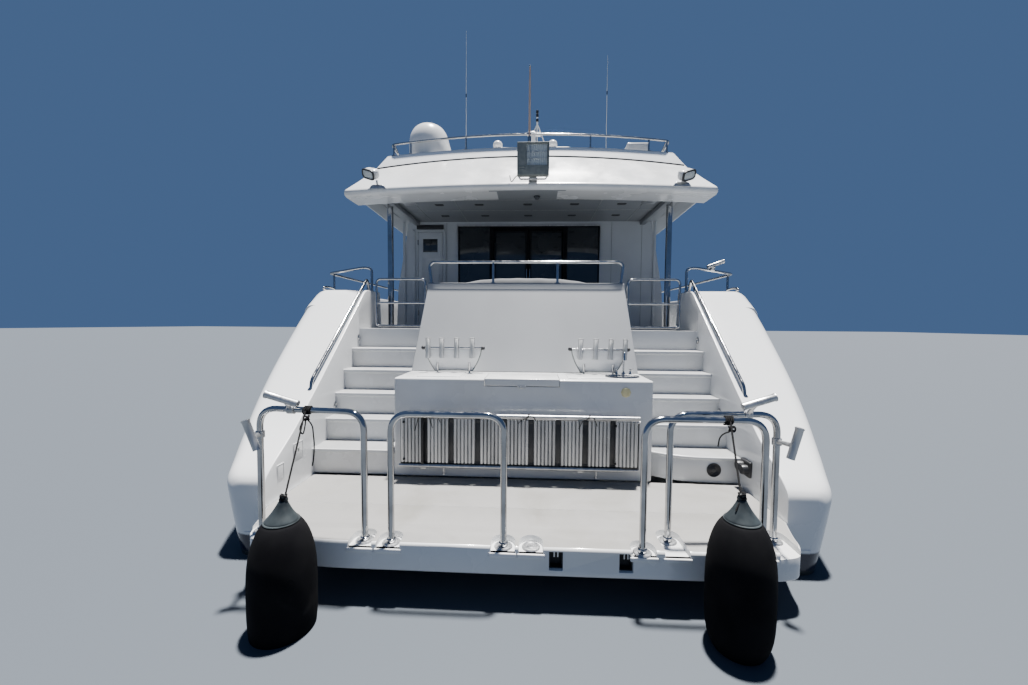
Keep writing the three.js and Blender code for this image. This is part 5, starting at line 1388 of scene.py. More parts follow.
def make_bulkhead_trim():
    panes = [(*sorted((sign * 0.758, sign * 1.375)), 3.672, 3.695, 2.0, 3.935) for sign in (-1, 1)]
    finished(blocks(panes, 0.003), "bulkhead_panes", "black_glass")
    bars = [(-1.385, 1.385, 3.655, 3.7, 3.93, 3.955, 0.005), (-1.385, 1.385, 3.655, 3.7, 1.985, 2.01, 0.005),
            (-1.385, 1.385, 3.688, 3.7004, 3.93, 3.95, 0)]
    bars += [(x, x + 0.025, 3.655, 3.7, 1.985, 3.955, 0.005) for x in (-1.385, 1.36)]
    bars += [(x, x + 0.02, 3.66, 3.7, 2.0, 3.94, 0.004) for x in (-0.762, 0.742)]
    bars += [(a, b, 3.68, 3.7004, 2.0, 3.94, 0.004) for a, b in ((-0.775, -0.695), (0.695, 0.775))]
    bars.append((-0.7003, 0.7003, 3.69, 3.791, 3.924, 3.9303, 0.002))
    bars += [(a, b, 3.69, 3.791, 1.99, 3.93, 0.002) for a, b in ((-0.7003, -0.695), (0.695, 0.7003))]
    finished(joined(*(block(*bar) for bar in bars)), "bulkhead_door_frame", "dark_profile")
    edges = [(-1.412, 1.412, 3.65, 3.7005, 3.955, 3.98)]
    edges += [(x, x + 0.027, 3.65, 3.7005, 1.975, 3.96) for x in (-1.412, 1.385)]
    finished(blocks(edges, 0.006), "bulkhead_door_edges", "brushed_alloy")
    # The surround gets a mid grey: painted shade on white moulding under the overhang.
    surround = blocks([(x, x + 0.05, 3.68, 3.7005, 2.0, 4.04) for x in (-2.5, 2.42)], 0.006)
    finished(surround, "bulkhead_surround", "bulkhead_painted_shade")
    seams = blocks([(x - 0.003, x + 0.003, 3.695, 3.702, 2.0, 4.04) for x in (-1.62, 1.62, 2.2)], 0)
    finished(seams, "bulkhead_seams", "grey_casting")


def make_side_door():
    low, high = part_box("side_door")
    y = low[1]
    leaf = cut(block(low[0], high[0], y, high[1], 2.016, 3.854, 0.006),
               block(-2.12, -1.79, y - 0.05, y + 0.008, 3.44, 3.74, 0.02, 2),
               block(-2.12, -1.79, y - 0.05, y + 0.006, 2.12, 3.34, 0.02, 2))
    # The side door's leaf gets the bulkhead's mid grey: painted shade.
    finished(leaf, "side_door_leaf", "bulkhead_painted_shade", "side_door", node="side_door")
    pane = block(-2.1, -1.81, y + 0.002, y + 0.012, 3.46, 3.72, 0.004)
    finished(pane, "side_door_pane", "black_glass", "side_door")
    louvres = [block(-2.05, -1.86, y - 0.006, y + 0.014, 2.3 + 0.045 * n, 2.318 + 0.045 * n, 0.003) for n in range(6)]
    x = -1.765
    pull = [(x, y, 2.86), (x, y - 0.035, 2.87), (x, y - 0.035, 3.0), (x, y, 3.01)]
    louvres.append(tube(pull, 0.008, 0.015, sides=10))
    finished(louvres, "side_door_louvres", "brushed_alloy", "side_door")
    hinge = [(0.001, 0), (0.011, 0), (0.011, 0.1), (0.001, 0.1)]
    hinges = [lathe(hinge, (low[0] - 0.004, y - 0.004, z), steps=12) for z in (2.2, 3.6)]
    finished(hinges, "side_door_hinges", "polished_steel", "side_door")
    finished(block(-2.22, -1.68, 3.668, 3.7005, 3.905, 3.99, 0.01), "side_door_lamp", "dark_frame")
    # Its frame likewise gets the mid grey of painted shade.
    bars = [(-2.3, -2.25, 3.68, 3.7005, 1.975, 3.9), (-1.685, -1.64, 3.68, 3.7005, 1.975, 3.9),
            (-2.3, -1.64, 3.68, 3.7005, 3.872, 3.9)]
    finished(blocks(bars, 0.006), "side_door_frame", "bulkhead_painted_shade")


def cushion(name, box, edge, segments, levels):
    """A padded block."""
    pad = modified(block(*box, edge, segments), "SUBSURF", levels=levels, render_levels=levels)
    finished(pad, name, "cushion_vinyl", angle=60)


# The settee cover's section: steps forward of the settee's aft face and down from its crown
COVER_SECTION = ((0.0, 0.2), (0.0, 0.1), (0.012, 0.04), (0.05, 0.005), (0.1, 0.0), (0.16, 0.012), (0.2, 0.06),
                 (0.22, 0.14))


def make_settee():
    low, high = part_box("aft_settee")
    base = block(low[0], high[0], low[1], high[1], low[2], 2.42, 0.03, 4)
    finished(base, "settee_base", "gelcoat", node="aft_settee")
    wide = high[0] - low[0]
    for n in range(3):
        x0 = low[0] + 0.01 + wide * n / 3
        x1 = low[0] - 0.01 + wide * (n + 1) / 3
        cushion(f"settee_seat_{n}", (x0, x1, low[1] + 0.17, high[1] - 0.01, 2.425, 2.57), 0.045, 5, 2)
        cushion(f"settee_back_{n}", (x0, x1, low[1] + 0.01, low[1] + 0.17, 2.43, 2.6), 0.045, 5, 2)
    rows = []
    for i in range(25):
        crown = 2.668 - 0.09 * (abs(2 * i / 24 - 1) / 0.75) ** 3
        ripple = 0.006 * math.sin(i * 2.4)
        rows.append([(low[0] + wide * i / 24, low[1] + dy, crown - dz + ripple) for dy, dz in COVER_SECTION])
    cover = skin(rows, holes=False)
    modified(cover, "SOLIDIFY", thickness=0.004, offset=-1)
    modified(cover, "SUBSURF", levels=1, render_levels=1)
    finished(cover, "settee_cover", "cover_cloth", angle=60)


make_saloon_doors()
make_bulkhead_trim()
make_side_door()
make_settee()

# Deckhouse sides: window frames, mullions and dark panes

WINDOW = {"from": 4.6, "to": 14.6, "foot": 2.8, "top": 3.65}


def house_half(z):
    return 2.6 - (z - 2.75) * (2.6 - 2.38) / 1.3 if z > 2.75 else 2.64 - (z - 1.97) * 0.04 / 0.78


def on_house(thing, sign, out=0.0):
    """Lays a piece drawn flat in y and z on the deckhouse's leaning side."""
    return outward(reshaped(thing, lambda x, y, z: (sign * (house_half(z) + out + x), y, z)), holes=False)


def ring(y0, y1, z0, z1, wide, thick, corner, edge=0.003):
    """A frame with round corners, drawn in y and z and thick along x."""
    shape = lambda d: rounded(oblong(y0 - d, y1 + d, z0 - d, z1 + d), corner + d, 6)
    return cut(plate(shape(wide), 0, thick, "X", edge, 2), plate(shape(-0.004), -0.05, thick + 0.05, "X", 0))


def make_house_side(side, sign):
    aft, fore, foot, top = WINDOW["from"], WINDOW["to"], WINDOW["foot"], WINDOW["top"]
    border = ring(aft, fore, foot, top, 0.045, 0.012, 0.12)
    bars = [block(0.0, 0.008, y - 0.03, y + 0.03, foot - 0.01, top + 0.01, 0.003)
            for y in (aft + (fore - aft) * n / 6 for n in range(1, 6))]
    finished(on_house(joined(border, *bars), sign, -0.002), f"saloon_window_frame_{side}", "dark_frame")
    ledges = blocks([(-0.004, 0.014, 3.8, 15.4, z, z + 0.03) for z in (2.62, 3.86)], 0.006)
    finished(on_house(ledges, sign), f"house_moulding_{side}", "gelcoat")
    vents = blocks([(-0.002, 0.012, 13.0 + 0.12 * n, 13.06 + 0.12 * n, 2.2, 2.5) for n in range(8)], 0.004)
    finished(on_house(vents, sign), f"engine_vents_{side}", "brushed_alloy")
def beside(thing, sign, wall):
    """Lays a piece drawn flat in y and z on a side wall; the wall is a place or a rule on y."""
    at = wall if callable(wall) else lambda y: wall
    return outward(reshaped(thing, lambda x, y, z: (sign * (at(y) + x), y, z)), False)


QUARTER_PANE = [(17.71, 4.24), (17.71, 4.95), (18.46, 4.445), (18.46, 4.24)]
QUARTER_BEAD = [(17.68, 4.21), (17.68, 5.0), (18.49, 4.46), (18.49, 4.21)]


def make_doors_and_panes():
    for side, sign in SIDES:
        door = f"pilothouse_door_{side}"
        door_ring = beside(ring(17.02, 17.44, 4.0, 4.8, 0.03, 0.008, 0.05), sign, 2.149)
        finished(door_ring, f"pilothouse_door_ring_{side}", "dark_frame", door)
        x = sign * 2.125
        pane = block(x - 0.006, x + 0.006, 17.015, 17.445, 3.995, 4.805, 0.002)
        finished(pane, f"pilothouse_door_pane_{side}", "black_glass", door)
        route = [(sign * x, y, 3.75) for x, y in ((2.149, 17.0), (2.185, 17.0), (2.185, 17.12), (2.149, 17.12))]
        finished(tube(route, 0.008, 0.02, sides=10), f"pilothouse_door_pull_{side}", "polished_steel", door)
        side_ring = beside(ring(15.75, 16.75, 4.25, 5.08, 0.035, 0.01, 0.08), sign, 2.149)
        finished(side_ring, f"pilothouse_window_ring_{side}", "dark_frame")
        x = sign * 2.11
        window = block(x - 0.005, x + 0.005, 15.745, 16.755, 4.245, 5.085, 0.002)
        finished(window, f"pilothouse_window_{side}", "tinted_glass")
        pane = plate(QUARTER_PANE, -0.005, 0.005, "X", 0)
        bead = cut(plate(QUARTER_BEAD, 0, 0.01, "X", 0.003, 2), plate(QUARTER_PANE, -0.1, 0.1, "X", 0))
        for thing, out, label, finish in ((pane, -0.045, "pane", "tinted_glass"), (bead, -0.001, "ring", "dark_frame")):
            quarter = beside(thing, sign, lambda y: 2.15 - (y - 17.6) * 0.2 / 1.3 + out)
            finished(quarter, f"quarter_{label}_{side}", finish)


RAKE_SLOPE = 1.15 / 1.7


def on_rake(x, y, out):
    normal = Vector((0, RAKE_SLOPE, 1)).normalized()
    return Vector((x, y, 4.2 + (19.1 - y) * RAKE_SLOPE)) + normal * out


def make_windscreen_trim():
    parts = []
    for x0, x1 in ((-1.69, -0.56), (-0.5, 0.5), (0.56, 1.69)):
        corners = oblong(x0, x1, 17.62, 18.86)
        for a, b in zip(corners, corners[1:] + corners[:1]):
            parts.append(tube([on_rake(*a, 0.003), on_rake(*b, 0.003)], 0.016, sides=10))
    for x in (-0.53, 0.53):
        parts.append(tube([on_rake(x, 17.62, 0.0), on_rake(x, 18.86, 0.0)], 0.03, sides=12))
    finished(parts, "windscreen_beads", "dark_frame", angle=50)
    arms = []
    for x in (-1.1, 0.0, 1.1):
        pivot, elbow = on_rake(x, 18.93, 0.05), on_rake(x + 0.12, 18.3, 0.05)
        arms.append(lathe([(0.001, -0.04), (0.035, -0.04), (0.03, 0.02), (0.001, 0.03)], tuple(pivot), steps=16))
        arms.append(tube([pivot, pivot.lerp(elbow, 0.5), elbow], [0.012, 0.009, 0.007], sides=10))
        arms.append(tube([on_rake(x + 0.1, 18.75, 0.028), on_rake(x + 0.14, 17.85, 0.028)], 0.011, sides=8))
    finished(arms, "wipers", "black_rubber", angle=50)
    finished(block(-2.16, 2.16, 15.5, 17.42, 5.345, 5.362), "pilothouse_roof_edge", "gelcoat")
    trumpet = [(0.001, 0.0), (0.03, 0.0), (0.022, 0.08), (0.028, 0.24), (0.06, 0.33), (0.075, 0.34), (0.06, 0.342),
               (0.02, 0.26), (0.001, 0.25)]
    horns = []
    for x in (-0.5, 0.5):
        horns.append(lathe(trumpet, (x, 17.0, 5.43), "Y", 24))
        horns.append(block(x - 0.02, x + 0.02, 17.02, 17.12, 5.35, 5.41, 0.004))
    finished(horns, "horns", "polished_steel", angle=50)
    stand = [(0.001, 0), (0.1, 0), (0.1, 0.02), (0.05, 0.03), (0.05, 0.1), (0.001, 0.1)]
    lamp = [(0.001, 0), (0.13, 0), (0.15, 0.06), (0.15, 0.17), (0.12, 0.2), (0.001, 0.2)]
    searchlight = joined(lathe(stand, (0, 16.9, 5.35), steps=28), lathe(lamp, (0, 16.8, 5.56), "Y", 32))
    finished(searchlight, "searchlight", "gelcoat", angle=50)


SPOKES = (0.5, 2.6, 4.71)


def make_helm():
    y, z = 17.36, 4.02
    rim = lambda a, wide, deep, tall: (wide * math.cos(a), y + deep * math.sin(a), z + tall * math.sin(a))
    wheel = [tube([rim(a, 0.22, 0.07, 0.21) for a in around(32)], 0.014, sides=12)]
    wheel += [tube([(0, y + 0.01, z), rim(a, 0.21, 0.066, 0.2)], 0.009, sides=10) for a in SPOKES]
    hub = [(0.001, -0.02), (0.045, -0.016), (0.05, 0.0), (0.03, 0.03), (0.03, 0.13), (0.001, 0.13)]
    wheel.append(lathe(hub, (0, y, z), "Y", 20))
    finished(wheel, "helm_wheel", "varnished_wood", angle=50)
    screens = reshaped(blocks([(x - 0.2, x + 0.2, 17.6, 17.64, 3.96, 4.2) for x in (-0.7, -0.2, 0.3, 0.8)], 0.012),
                       lambda x, y, z: (x, y + (z - 3.96) * 0.45, z))
    finished(screens, "helm_displays", "black_glass")
    post = [(0.001, 0), (0.22, 0), (0.22, 0.015), (0.06, 0.04), (0.045, 0.4), (0.07, 0.46), (0.2, 0.5), (0.001, 0.5)]
    for n, x in enumerate((-0.55, 0.55)):
        finished(lathe(post, (x, 16.5, 3.001), steps=28), f"helm_seat_post_{n}", "brushed_alloy", angle=50)
        cushion(f"helm_seat_{n}", (x - 0.27, x + 0.27, 16.25, 16.78, 3.5, 3.62), 0.04, 4, 1)
        cushion(f"helm_back_{n}", (x - 0.26, x + 0.26, 16.2, 16.32, 3.6, 4.15), 0.045, 4, 1)


for side, sign in SIDES:
    make_house_side(side, sign)
make_doors_and_panes()
make_windscreen_trim()
make_helm()

# Flybridge: sides with the arch's legs, console, settee, bar, hardtop, mast and radar

FLY_SIDE = 2.32
FLY_PROFILE = [(6.0, 4.5703), (6.6, 5.15), (8.3, 5.35), (7.6, 6.6), (8.9, 6.6), (10.2, 5.35), (15.0, 5.42),
               (DECK_END, 5.3), (DECK_END, 4.5703)]
HARDTOP, HARDTOP_TOP = 6.6003, 6.76
HARDTOP_HALF = [(2.45, 7.2), (2.72, 7.6), (2.72, 12.4), (2.3, 13.2)]


def fly_front(x):
    """Where the flybridge front's curve stands."""
    return 14.28 + 0.75 * (1 - (x / 2.3) ** 2) ** 0.5 * 0.9


def make_flybridge():
    foot = BOAT_DECK - 0.002
    for side, sign in SIDES:
        low, high = sorted((sign * FLY_SIDE, sign * (FLY_SIDE + 0.09)))
        wing = plate(rounded(FLY_PROFILE, 0.12), low, high, "X", 0.026, 4)
        finished(wing, f"flybridge_wing_{side}", "gelcoat", node=f"flybridge_side_{side}")
        x = sign * (FLY_SIDE + 0.045)
        parts = [tube([(x, 10.4, 5.36), (x, 10.5, 5.6), (x, 14.8, 5.66), (x, 14.9, 5.42)], 0.017, 0.1)]
        parts += [tube([(x, y, 5.36), (x, y, 5.6 + (y - 10.5) * 0.014)], 0.014, sides=12) for y in (11.5, 12.6, 13.7)]
        finished(parts, f"flybridge_rail_{side}", "polished_steel", angle=50)
    console = [(13.35, foot), (13.35, 5.3), (13.5, 5.45), (13.95, 5.55), (14.3, 5.35), (14.3, foot)]
    finished(plate(console, -0.95, 0.95, "X", 0.05, 5), "flybridge_console", "gelcoat")
    dial = [(0.001, 0.002), (0.05, 0.002), (0.056, 0.008), (0.062, 0.006), (0.062, -0.004)]
    dials = [lathe(dial, (x, 13.52, 5.452), steps=24) for x in (-0.55, -0.38, 0.38, 0.55)]
    finished(dials, "flybridge_dials", "dark_frame")
    rim = lambda a, wide, deep, tall: (wide * math.cos(a), 13.26 + deep * math.sin(a), 5.26 + tall * math.sin(a))
    wheel = [tube([rim(a, 0.2, 0.09, 0.18) for a in around(32)], 0.013, sides=12),
             tube([(0, 13.26, 5.26), (0, 13.37, 5.2)], [0.035, 0.03], sides=16)]
    wheel += [tube([(0, 13.26, 5.26), rim(a, 0.19, 0.085, 0.17)], 0.008, sides=8) for a in SPOKES]
    finished(wheel, "flybridge_wheel", "polished_steel", angle=50)
    across = [2.29 * (i / 20 - 1) for i in range(41)]
    screen = skin([[(x, fly_front(x) - dy, z) for x in across] for dy, z in ((0.0, 5.4), (0.1, 5.6), (0.2, 5.8))],
                  holes=False)
    modified(screen, "SOLIDIFY", thickness=0.008, offset=0)
    finished(screen, "venturi_screen", "black_glass", angle=50)
    section = [(0.03, foot), (0.03, 5.38), (0.02, 5.41), (-0.03, 5.41), (-0.04, 5.38), (-0.04, foot), (0.03, foot)]
    front = skin([[(x, fly_front(x) + dy, z) for dy, z in section] for x in across])
    finished(front, "flybridge_front", "gelcoat")
    base = [(-2.2, -1.62, 8.6, 12.2, foot, 4.88, 0.02), (-1.63, -0.7, 11.65, 12.2, foot, 4.88, 0.02),
            (-2.2, -2.06, 8.6, 12.2, 4.86, 5.3, 0.03), (-1.7, -0.7, 12.1, 12.2, 4.86, 5.3, 0.03)]
    finished(joined(*(block(*row) for row in base)), "flybridge_settee", "gelcoat")
    seats = [(8.62 + 1.19 * n, 9.79 + 1.19 * n) for n in range(3)]
    pads = [(-2.05, -1.64, *seat, 4.885, 5.01) for seat in seats] + [(-1.62, -0.72, 11.67, 12.09, 4.885, 5.01)]
    pads += [(-2.06, -1.94, *seat, 5.02, 5.37) for seat in seats]
    for n, pad in enumerate(pads):
        cushion(f"flybridge_cushion_{n}", pad, 0.035, 4, 1)
    bar = joined(block(1.6, 2.2, 8.6, 11.0, foot, 5.44, 0.03, 4), block(1.57, 2.22, 8.57, 11.03, 5.435, 5.475, 0.015))
    finished(bar, "flybridge_bar", "gelcoat")


def make_hardtop():
    plan = rounded(both(HARDTOP_HALF), 0.3, 7)
    finished(plate(plan, HARDTOP, HARDTOP_TOP, "Z", 0.055, 5), "hardtop_moulding", "gelcoat", node="hardtop")
    foot, middle, y = HARDTOP_TOP - 0.002, 9.7, 9.5
    socket = [(0.001, 0), (0.06, 0), (0.06, 0.012), (0.024, 0.03), (0.024, 0.16), (0.014, 0.17)]
    for n, (x, top) in enumerate(((-2.22, 11.8), (2.48, 10.9))):
        whip = tube([(x, y, z) for z in (foot, foot + 0.12, middle, top)], [0.02, 0.0115, 0.0105, 0.0045], sides=12)
        finished(whip, f"whip_aerial_{n}", "gelcoat", angle=60)
        joint = tube([(x, y, middle + dz) for dz in (-0.06, -0.055, 0.055, 0.06)], [0.011, 0.016, 0.016, 0.011],
                     sides=12)
        finished(joined(joint, lathe(socket, (x, y, foot), steps=20)), f"whip_fittings_{n}", "dark_frame", angle=40)
    hatches = [(x - 0.35, x + 0.35, 9.9, 10.7, foot, HARDTOP_TOP + 0.03) for x in (-1.2, 1.2)]
    finished(blocks(hatches, 0.02), "hardtop_hatches", "black_glass")
    lamp = [(0.001, -0.006), (0.05, -0.006), (0.06, 0.002)]
    lamps = [lathe(lamp, (x, y, HARDTOP), steps=24) for x in (-1.4, 0, 1.4) for y in (8.6, 10.4, 12.2)]
    finished(lamps, "hardtop_lights", "lamp_lens")


def small_dome(x, foot):
    profile = [(0.001, 0), (0.095, 0), (0.1, 0.02), (0.14, 0.055), (0.158, 0.12), (0.15, 0.175), (0.12, 0.22),
               (0.07, 0.255), (0.001, 0.27)]
    return lathe(profile, (x, 9.375, foot))


def make_mast():
    foot, x, y = HARDTOP_TOP + 0.0005, 0.18, 9.4
    profile = [(9.3, foot), (9.15, 8.35), (9.6, 8.35), (10.4, 7.3), (11.42, 7.3), (11.42, 7.22), (10.6, foot)]
    parts = [plate(rounded(profile, 0.05, 4), -0.13, 0.13, "X", 0.035, 4),
             block(-1.25, 1.25, 9.25, 9.5, 7.79, 7.88, 0.035, 4), block(0.06, 0.3, 9.3, 9.5, 8.3, 8.38, 0.02),
             tube([(x, y, 8.35), (x, y, 9.0)], 0.028, sides=20)]
    parts += [tube([(x + dx, y + dy, 7.87), (x, y, 8.69)], 0.018, sides=12)
              for dx, dy in ((-0.3, -0.1), (0.3, -0.1), (0, 0.09))]
    parts += [small_dome(-1.13, 7.87), small_dome(0.7, 7.87)]
    finished(parts, "mast_moulding", "gelcoat", angle=35, node="mast")
    lamps = [tube([(x, y, z + dz) for dz in (0, 0.01, 0.09, 0.1)], [0.03, 0.045, 0.045, 0.03], sides=20)
             for z in (8.74, 8.9, 9.02)]
    finished(lamps, "mast_lamps", "dark_frame", angle=40)
    low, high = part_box("radar_scanner")
    drum = [(0.001, 0.0), (0.09, 0.0), (0.09, 0.05), (0.075, 0.1), (0.075, 0.15), (0.001, 0.15)]
    radar = joined(block(-0.85, 0.85, 11.24, 11.36, low[2] + 0.12, high[2], 0.045, 5),
                   lathe(drum, (0, 11.3, low[2]), steps=40))
    finished(radar, "radar_bar", "gelcoat", "radar_scanner", 35, "radar_scanner")


make_flybridge()
make_hardtop()
make_mast()

# Foredeck: sun pad, hatches, windlass, cleats and anchor

def cleat(x, y, z):
    """A two-horned mooring cleat on its feet."""
    horn = tube([(0, dy, dz) for dy, dz in ((-0.16, 0.062), (-0.13, 0.056), (-0.05, 0.05), (0.05, 0.05), (0.13, 0.056),
                                            (0.16, 0.062))],
                [0.004, 0.014, 0.019, 0.019, 0.014, 0.004], sides=12)
    foot = [(0.001, -0.002), (0.03, -0.002), (0.03, 0.006), (0.016, 0.02), (0.014, 0.05)]
    feet = [lathe(foot, (0, dy, 0), steps=16) for dy in (-0.05, 0.05)]
    return outward(reshaped(joined(horn, *feet), lambda a, b, c: (x + a, y + b, z + c)), False)


def make_foredeck():
    trunk = plate(rounded(both([(1.3, 20.6), (1.05, 23.6), (0.7, 24.2)]), 0.15), FOREDECK + 0.0003, 3.48, "Z", 0.05, 5)
    finished(trunk, "foredeck_trunk_moulding", "gelcoat", node="foredeck_trunk")
    for n, (x0, x1) in enumerate(((-1.1, -0.02), (0.02, 1.1))):
        cushion(f"sun_pad_{n}", (x0, x1, 20.8, 22.9, 3.484, 3.6), 0.04, 4, 1)
    finished(block(-0.3, 0.3, 23.15, 23.75, 3.478, 3.515, 0.015), "foredeck_hatch", "black_glass")
    drum = [(0.001, 0), (0.17, 0), (0.17, 0.05), (0.1, 0.09), (0.07, 0.15), (0.1, 0.22), (0.12, 0.26), (0.08, 0.29),
            (0.001, 0.3)]
    windlass = [lathe(drum, (x, 26.2, FOREDECK), steps=32) for x in (-0.3, 0.3)]
    windlass.append(block(-0.5, 0.5, 26.0, 26.5, FOREDECK - 0.002, FOREDECK + 0.03, 0.01))
    finished(windlass, "windlass", "polished_steel", angle=40)
    cleats = [cleat(sign * x, y, z) for x, y, z in ((1.5, 24.6, FOREDECK), (2.72, 2.4, 2.52)) for sign in (-1, 1)]
    finished(cleats, "deck_cleats", "polished_steel", angle=50)
    fairleads = []
    for sign in (-1, 1):
        loop = [(sign * 2.95, 1.62 + 0.16 * math.cos(a), 2.545 + 0.03 * math.sin(a)) for a in around(24)]
        fairleads.append(tube(loop, 0.016, sides=12))
        for y in (10.0, 22.0):
            row = station(y)
            z = row[SHEER_Z] - 0.2
            x = sign * half_at(row, z)
            loop = [(x, y + 0.17 * math.cos(a), z + 0.06 * math.sin(a)) for a in around(24)]
            fairleads.append(tube(loop, 0.018, sides=12))
    finished(fairleads, "fairleads", "polished_steel", angle=50)


PORT_WIDE, PORT_TALL = 0.26, 0.13


def portlight(y, sign):
    """A row of points once round a portlight, laid on the hull, for each share of its size."""
    row = station(y)
    z = 1.35 + max(y - 15, 0) * 0.06
    lean = (half_at(row, z + 0.1) - half_at(row, z - 0.1)) / 0.2
    turn = (half_at(station(y + 0.2), z) - half_at(station(y - 0.2), z)) / 0.4

    def loop(share):
        flat = [(PORT_WIDE * share * math.cos(a), PORT_TALL * share * math.sin(a)) for a in around(32)]
        return [Vector((sign * (half_at(row, z) + lean * b + turn * a + 0.004), y + a, z + b)) for a, b in flat]

    return loop


def make_topside_trim():
    for side, sign in SIDES:
        route = []
        for y in (2.6 + (28.3 - 2.6) * i / 60 for i in range(61)):
            row = station(y)
            z = row[SHEER_Z] - 0.42
            x, py, pz = raked(row, half_at(row, z), y, z)
            route.append((sign * (x + 0.004), py, pz))
        finished(tube(route, [0.004] + [0.03] * 59 + [0.004], sides=12), f"rub_strake_{side}", "gelcoat", angle=50)
        beads = [(x + sign * 0.028, y, z) for x, y, z in route[1:-1]]
        finished(tube(beads, 0.009, sides=8), f"rub_strake_bead_{side}", "polished_steel", angle=50)
        panes, rims = [], []
        for y in (6.5, 8.3, 10.1, 13.4, 15.2, 18.6, 20.2):
            loop = portlight(y, sign)
            rims.append(tube(loop(1), 0.016, sides=10))
            panes.append(skin([loop(share) for share in (0.001, 0.5, 1.0)], holes=False))
        glass = modified(joined(*panes), "SOLIDIFY", thickness=0.006, offset=0)
        finished(glass, f"portlights_{side}", "black_glass", angle=50)
        finished(rims, f"portlight_rims_{side}", "polished_steel", angle=50)
    pulley = [(0.001, -0.07), (0.045, -0.07), (0.025, 0.0), (0.045, 0.07), (0.001, 0.07)]
    roller = joined(block(-0.09, 0.09, 28.9, 29.46, 4.16, 4.2, 0.01), block(-0.1, -0.08, 29.0, 29.46, 4.18, 4.3),
                    block(0.08, 0.1, 29.0, 29.46, 4.18, 4.3), lathe(pulley, (0, 29.4, 4.24), "X", 24))
    finished(roller, "anchor_roller", "polished_steel", angle=40)


make_foredeck()
make_topside_trim()

# Running gear under water

PROP = {"y": 0.9, "z": -1.1, "radius": 0.46, "x": 1.35, "hub": 0.07}
STERN_TUBE = (4.4, -0.61)


def propeller_blade(angle, hand):
    """A skewed blade: rows along its radius, each a thin section turned to the pitch."""
    rows = []
    for t in (i / 14 for i in range(15)):
        r = PROP["hub"] + (PROP["radius"] - 0.001 - PROP["hub"]) * t
        chord = 0.16 + 0.2 * math.sin(math.pi * min(t * 0.62 + 0.12, 1)) - 0.12 * t
        if t > 0.75:
            chord *= math.sqrt(max(1 - ((t - 0.75) / 0.25) ** 2, 0.004))
        thick, pitch, skew = 0.02 * (1 - t) + 0.004, math.atan2(0.11, r), 0.28 * t * t
        row = []
        for a in around(16):
            along, across = chord / 2 * math.cos(a), thick / 2 * math.sin(a)
            turn_by = angle + hand * (skew + along * math.cos(pitch) / r * 0.9)
            row.append(Vector((r * math.sin(turn_by), along * math.sin(pitch) + across, r * math.cos(turn_by))))
        rows.append(row)
    return skin(rows)


def make_propeller(side, sign):
    boss = [(0.001, -0.21), (0.03, -0.205), (0.055, -0.17), (0.07, -0.13), (0.084, -0.08), (0.085, 0.07),
            (0.075, 0.11), (0.001, 0.11)]
    back, rise = STERN_TUBE[0] - PROP["y"], STERN_TUBE[1] - PROP["z"]
    parts = [propeller_blade(2 * math.pi * n / 4 + 0.4, sign) for n in range(4)]
    shaft = [(0, 0.1, 0), (0, math.hypot(back, rise) * 0.975, 0)]
    parts += [lathe(boss, (0, 0, 0), "Y"), tube(shaft, 0.0375, sides=24)]
    screw = settled(joined(*parts), Matrix.Translation((sign * PROP["x"], PROP["y"], PROP["z"]))
                    @ Matrix.Rotation(math.atan2(rise, back), 4, "X"))
    body = f"propeller_{side}"
    finished(screw, f"screw_{side}", "bronze", body, 40, body)


def foil(chord, thick, lead, steps=14):
    """A section like a fin's: round nose forward, fine tail aft."""
    half = []
    for i in range(steps + 1):
        t = (1 - math.cos(math.pi * i / steps)) / 2
        width = 5 * (0.2969 * math.sqrt(t) - 0.126 * t - 0.3516 * t ** 2 + 0.2843 * t ** 3 - 0.09 * t ** 4)
        half.append((thick * width, chord * (lead - t)))
    return half + [(-x, y) for x, y in reversed(half[1:])]


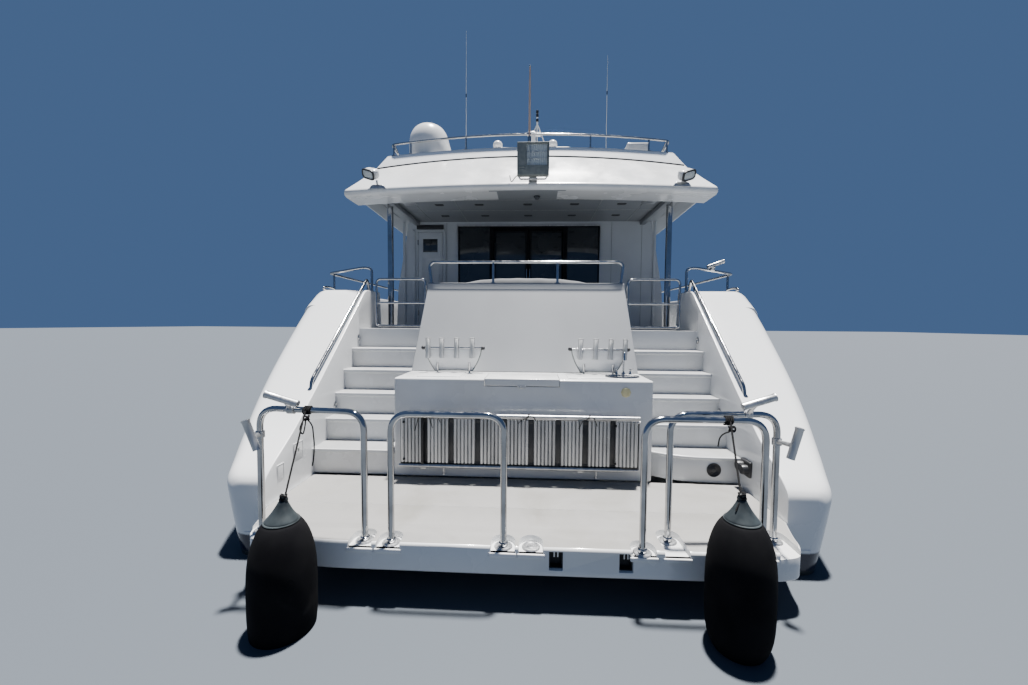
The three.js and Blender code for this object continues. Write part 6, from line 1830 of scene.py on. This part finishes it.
def make_blades(side, sign):
    body = f"rudder_{side}"
    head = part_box(body)[1][2]
    stock = reshaped(tube([(0, 0, -0.66), (0, 0, -0.3)], 0.03, sides=20), lambda x, y, z: (
        x, y, head if z > -0.35 else z))
    blade = joined(plate(foil(0.598, 0.088, 0.27), -1.539, -0.56, "Z", 0.008, 2), stock)
    settled(blade, Matrix.Translation((sign * 1.35, 0.3, 0)))
    finished(blade, f"rudder_blade_{side}", "bronze", body, node=body)

    body = f"stabiliser_fin_{side}"
    fin = reshaped(plate(foil(0.898, 0.108, 0.35), -0.779, -0.019, "Z", 0.01, 2), lambda x, y, z: (
        x, 0.3 + (y - 0.3) * (1 + 0.18 * z / 0.78) if y < 0.3 else y, z))
    fin = joined(fin, tube([(0, 0, -0.06), (0, 0, 0.149)], 0.04, sides=20))
    settled(fin, Matrix.Translation((sign * 2.15, 11.0, -0.488)) @ turned(-15 * sign, "Y"))
    finished(fin, f"fin_blade_{side}", "hull_paint", body, node=body)


for side, sign in SIDES:
    make_propeller(side, sign)
    make_blades(side, sign)

# Finishes of the solids that stay

# The aft bulkhead's node gets a mid grey: painted shade under the overhang.
NODE_FINISH = {"house_aft_bulkhead": "bulkhead_painted_shade", "saloon_window": "black_glass", "windscreen": "tinted_glass",
               "shaft_strut": "bronze"}


def dress_nodes():
    for thing in filter(None, map(bpy.data.objects.get, frame["nodes"])):
        finish = next((value for key, value in NODE_FINISH.items() if thing.name.startswith(key)), "gelcoat")
        thing.data.materials.clear()
        thing.data.materials.append(FINISHES[finish])


dress_nodes()


# Stage: a floor, a clear sky and a high sun

FLOOR_SIZE, FLOOR_COLOUR, FLOOR_ROUGH = 240, (0.06, 0.072, 0.088), 0.7
SKY_COLOUR, SKY_STRENGTH = (0.26, 0.48, 1.0), 0.26
SUN_FROM, SUN_COLOUR, SUN_ENERGY, SUN_DEGREES = (0.06, 0.13, 1.0), (1.0, 0.98, 0.95), 17, 3


def set_stage():
    only()
    bpy.ops.mesh.primitive_plane_add(size=FLOOR_SIZE, location=(0, 15, 0))
    floor = bpy.context.object
    floor.name = "floor"
    pale = bpy.data.materials.new("floor_paint")
    pale.use_nodes = True
    shader = pale.node_tree.nodes["Principled BSDF"]
    shader.inputs["Base Color"].default_value = (*FLOOR_COLOUR, 1)
    shader.inputs["Roughness"].default_value = FLOOR_ROUGH
    floor.data.materials.append(pale)

    world = bpy.data.worlds.new("studio")
    bpy.context.scene.world = world
    world.use_nodes = True
    sky = world.node_tree.nodes["Background"]
    sky.inputs["Color"].default_value = (*SKY_COLOUR, 1)
    sky.inputs["Strength"].default_value = SKY_STRENGTH

    only()
    bpy.ops.object.light_add(type="SUN")
    key = bpy.context.object
    key.name = "key"
    key.rotation_euler = Vector(SUN_FROM).to_track_quat("Z", "Y").to_euler()
    key.data.energy = SUN_ENERGY
    key.data.angle = math.radians(SUN_DEGREES)
    key.data.color = SUN_COLOUR


set_stage()
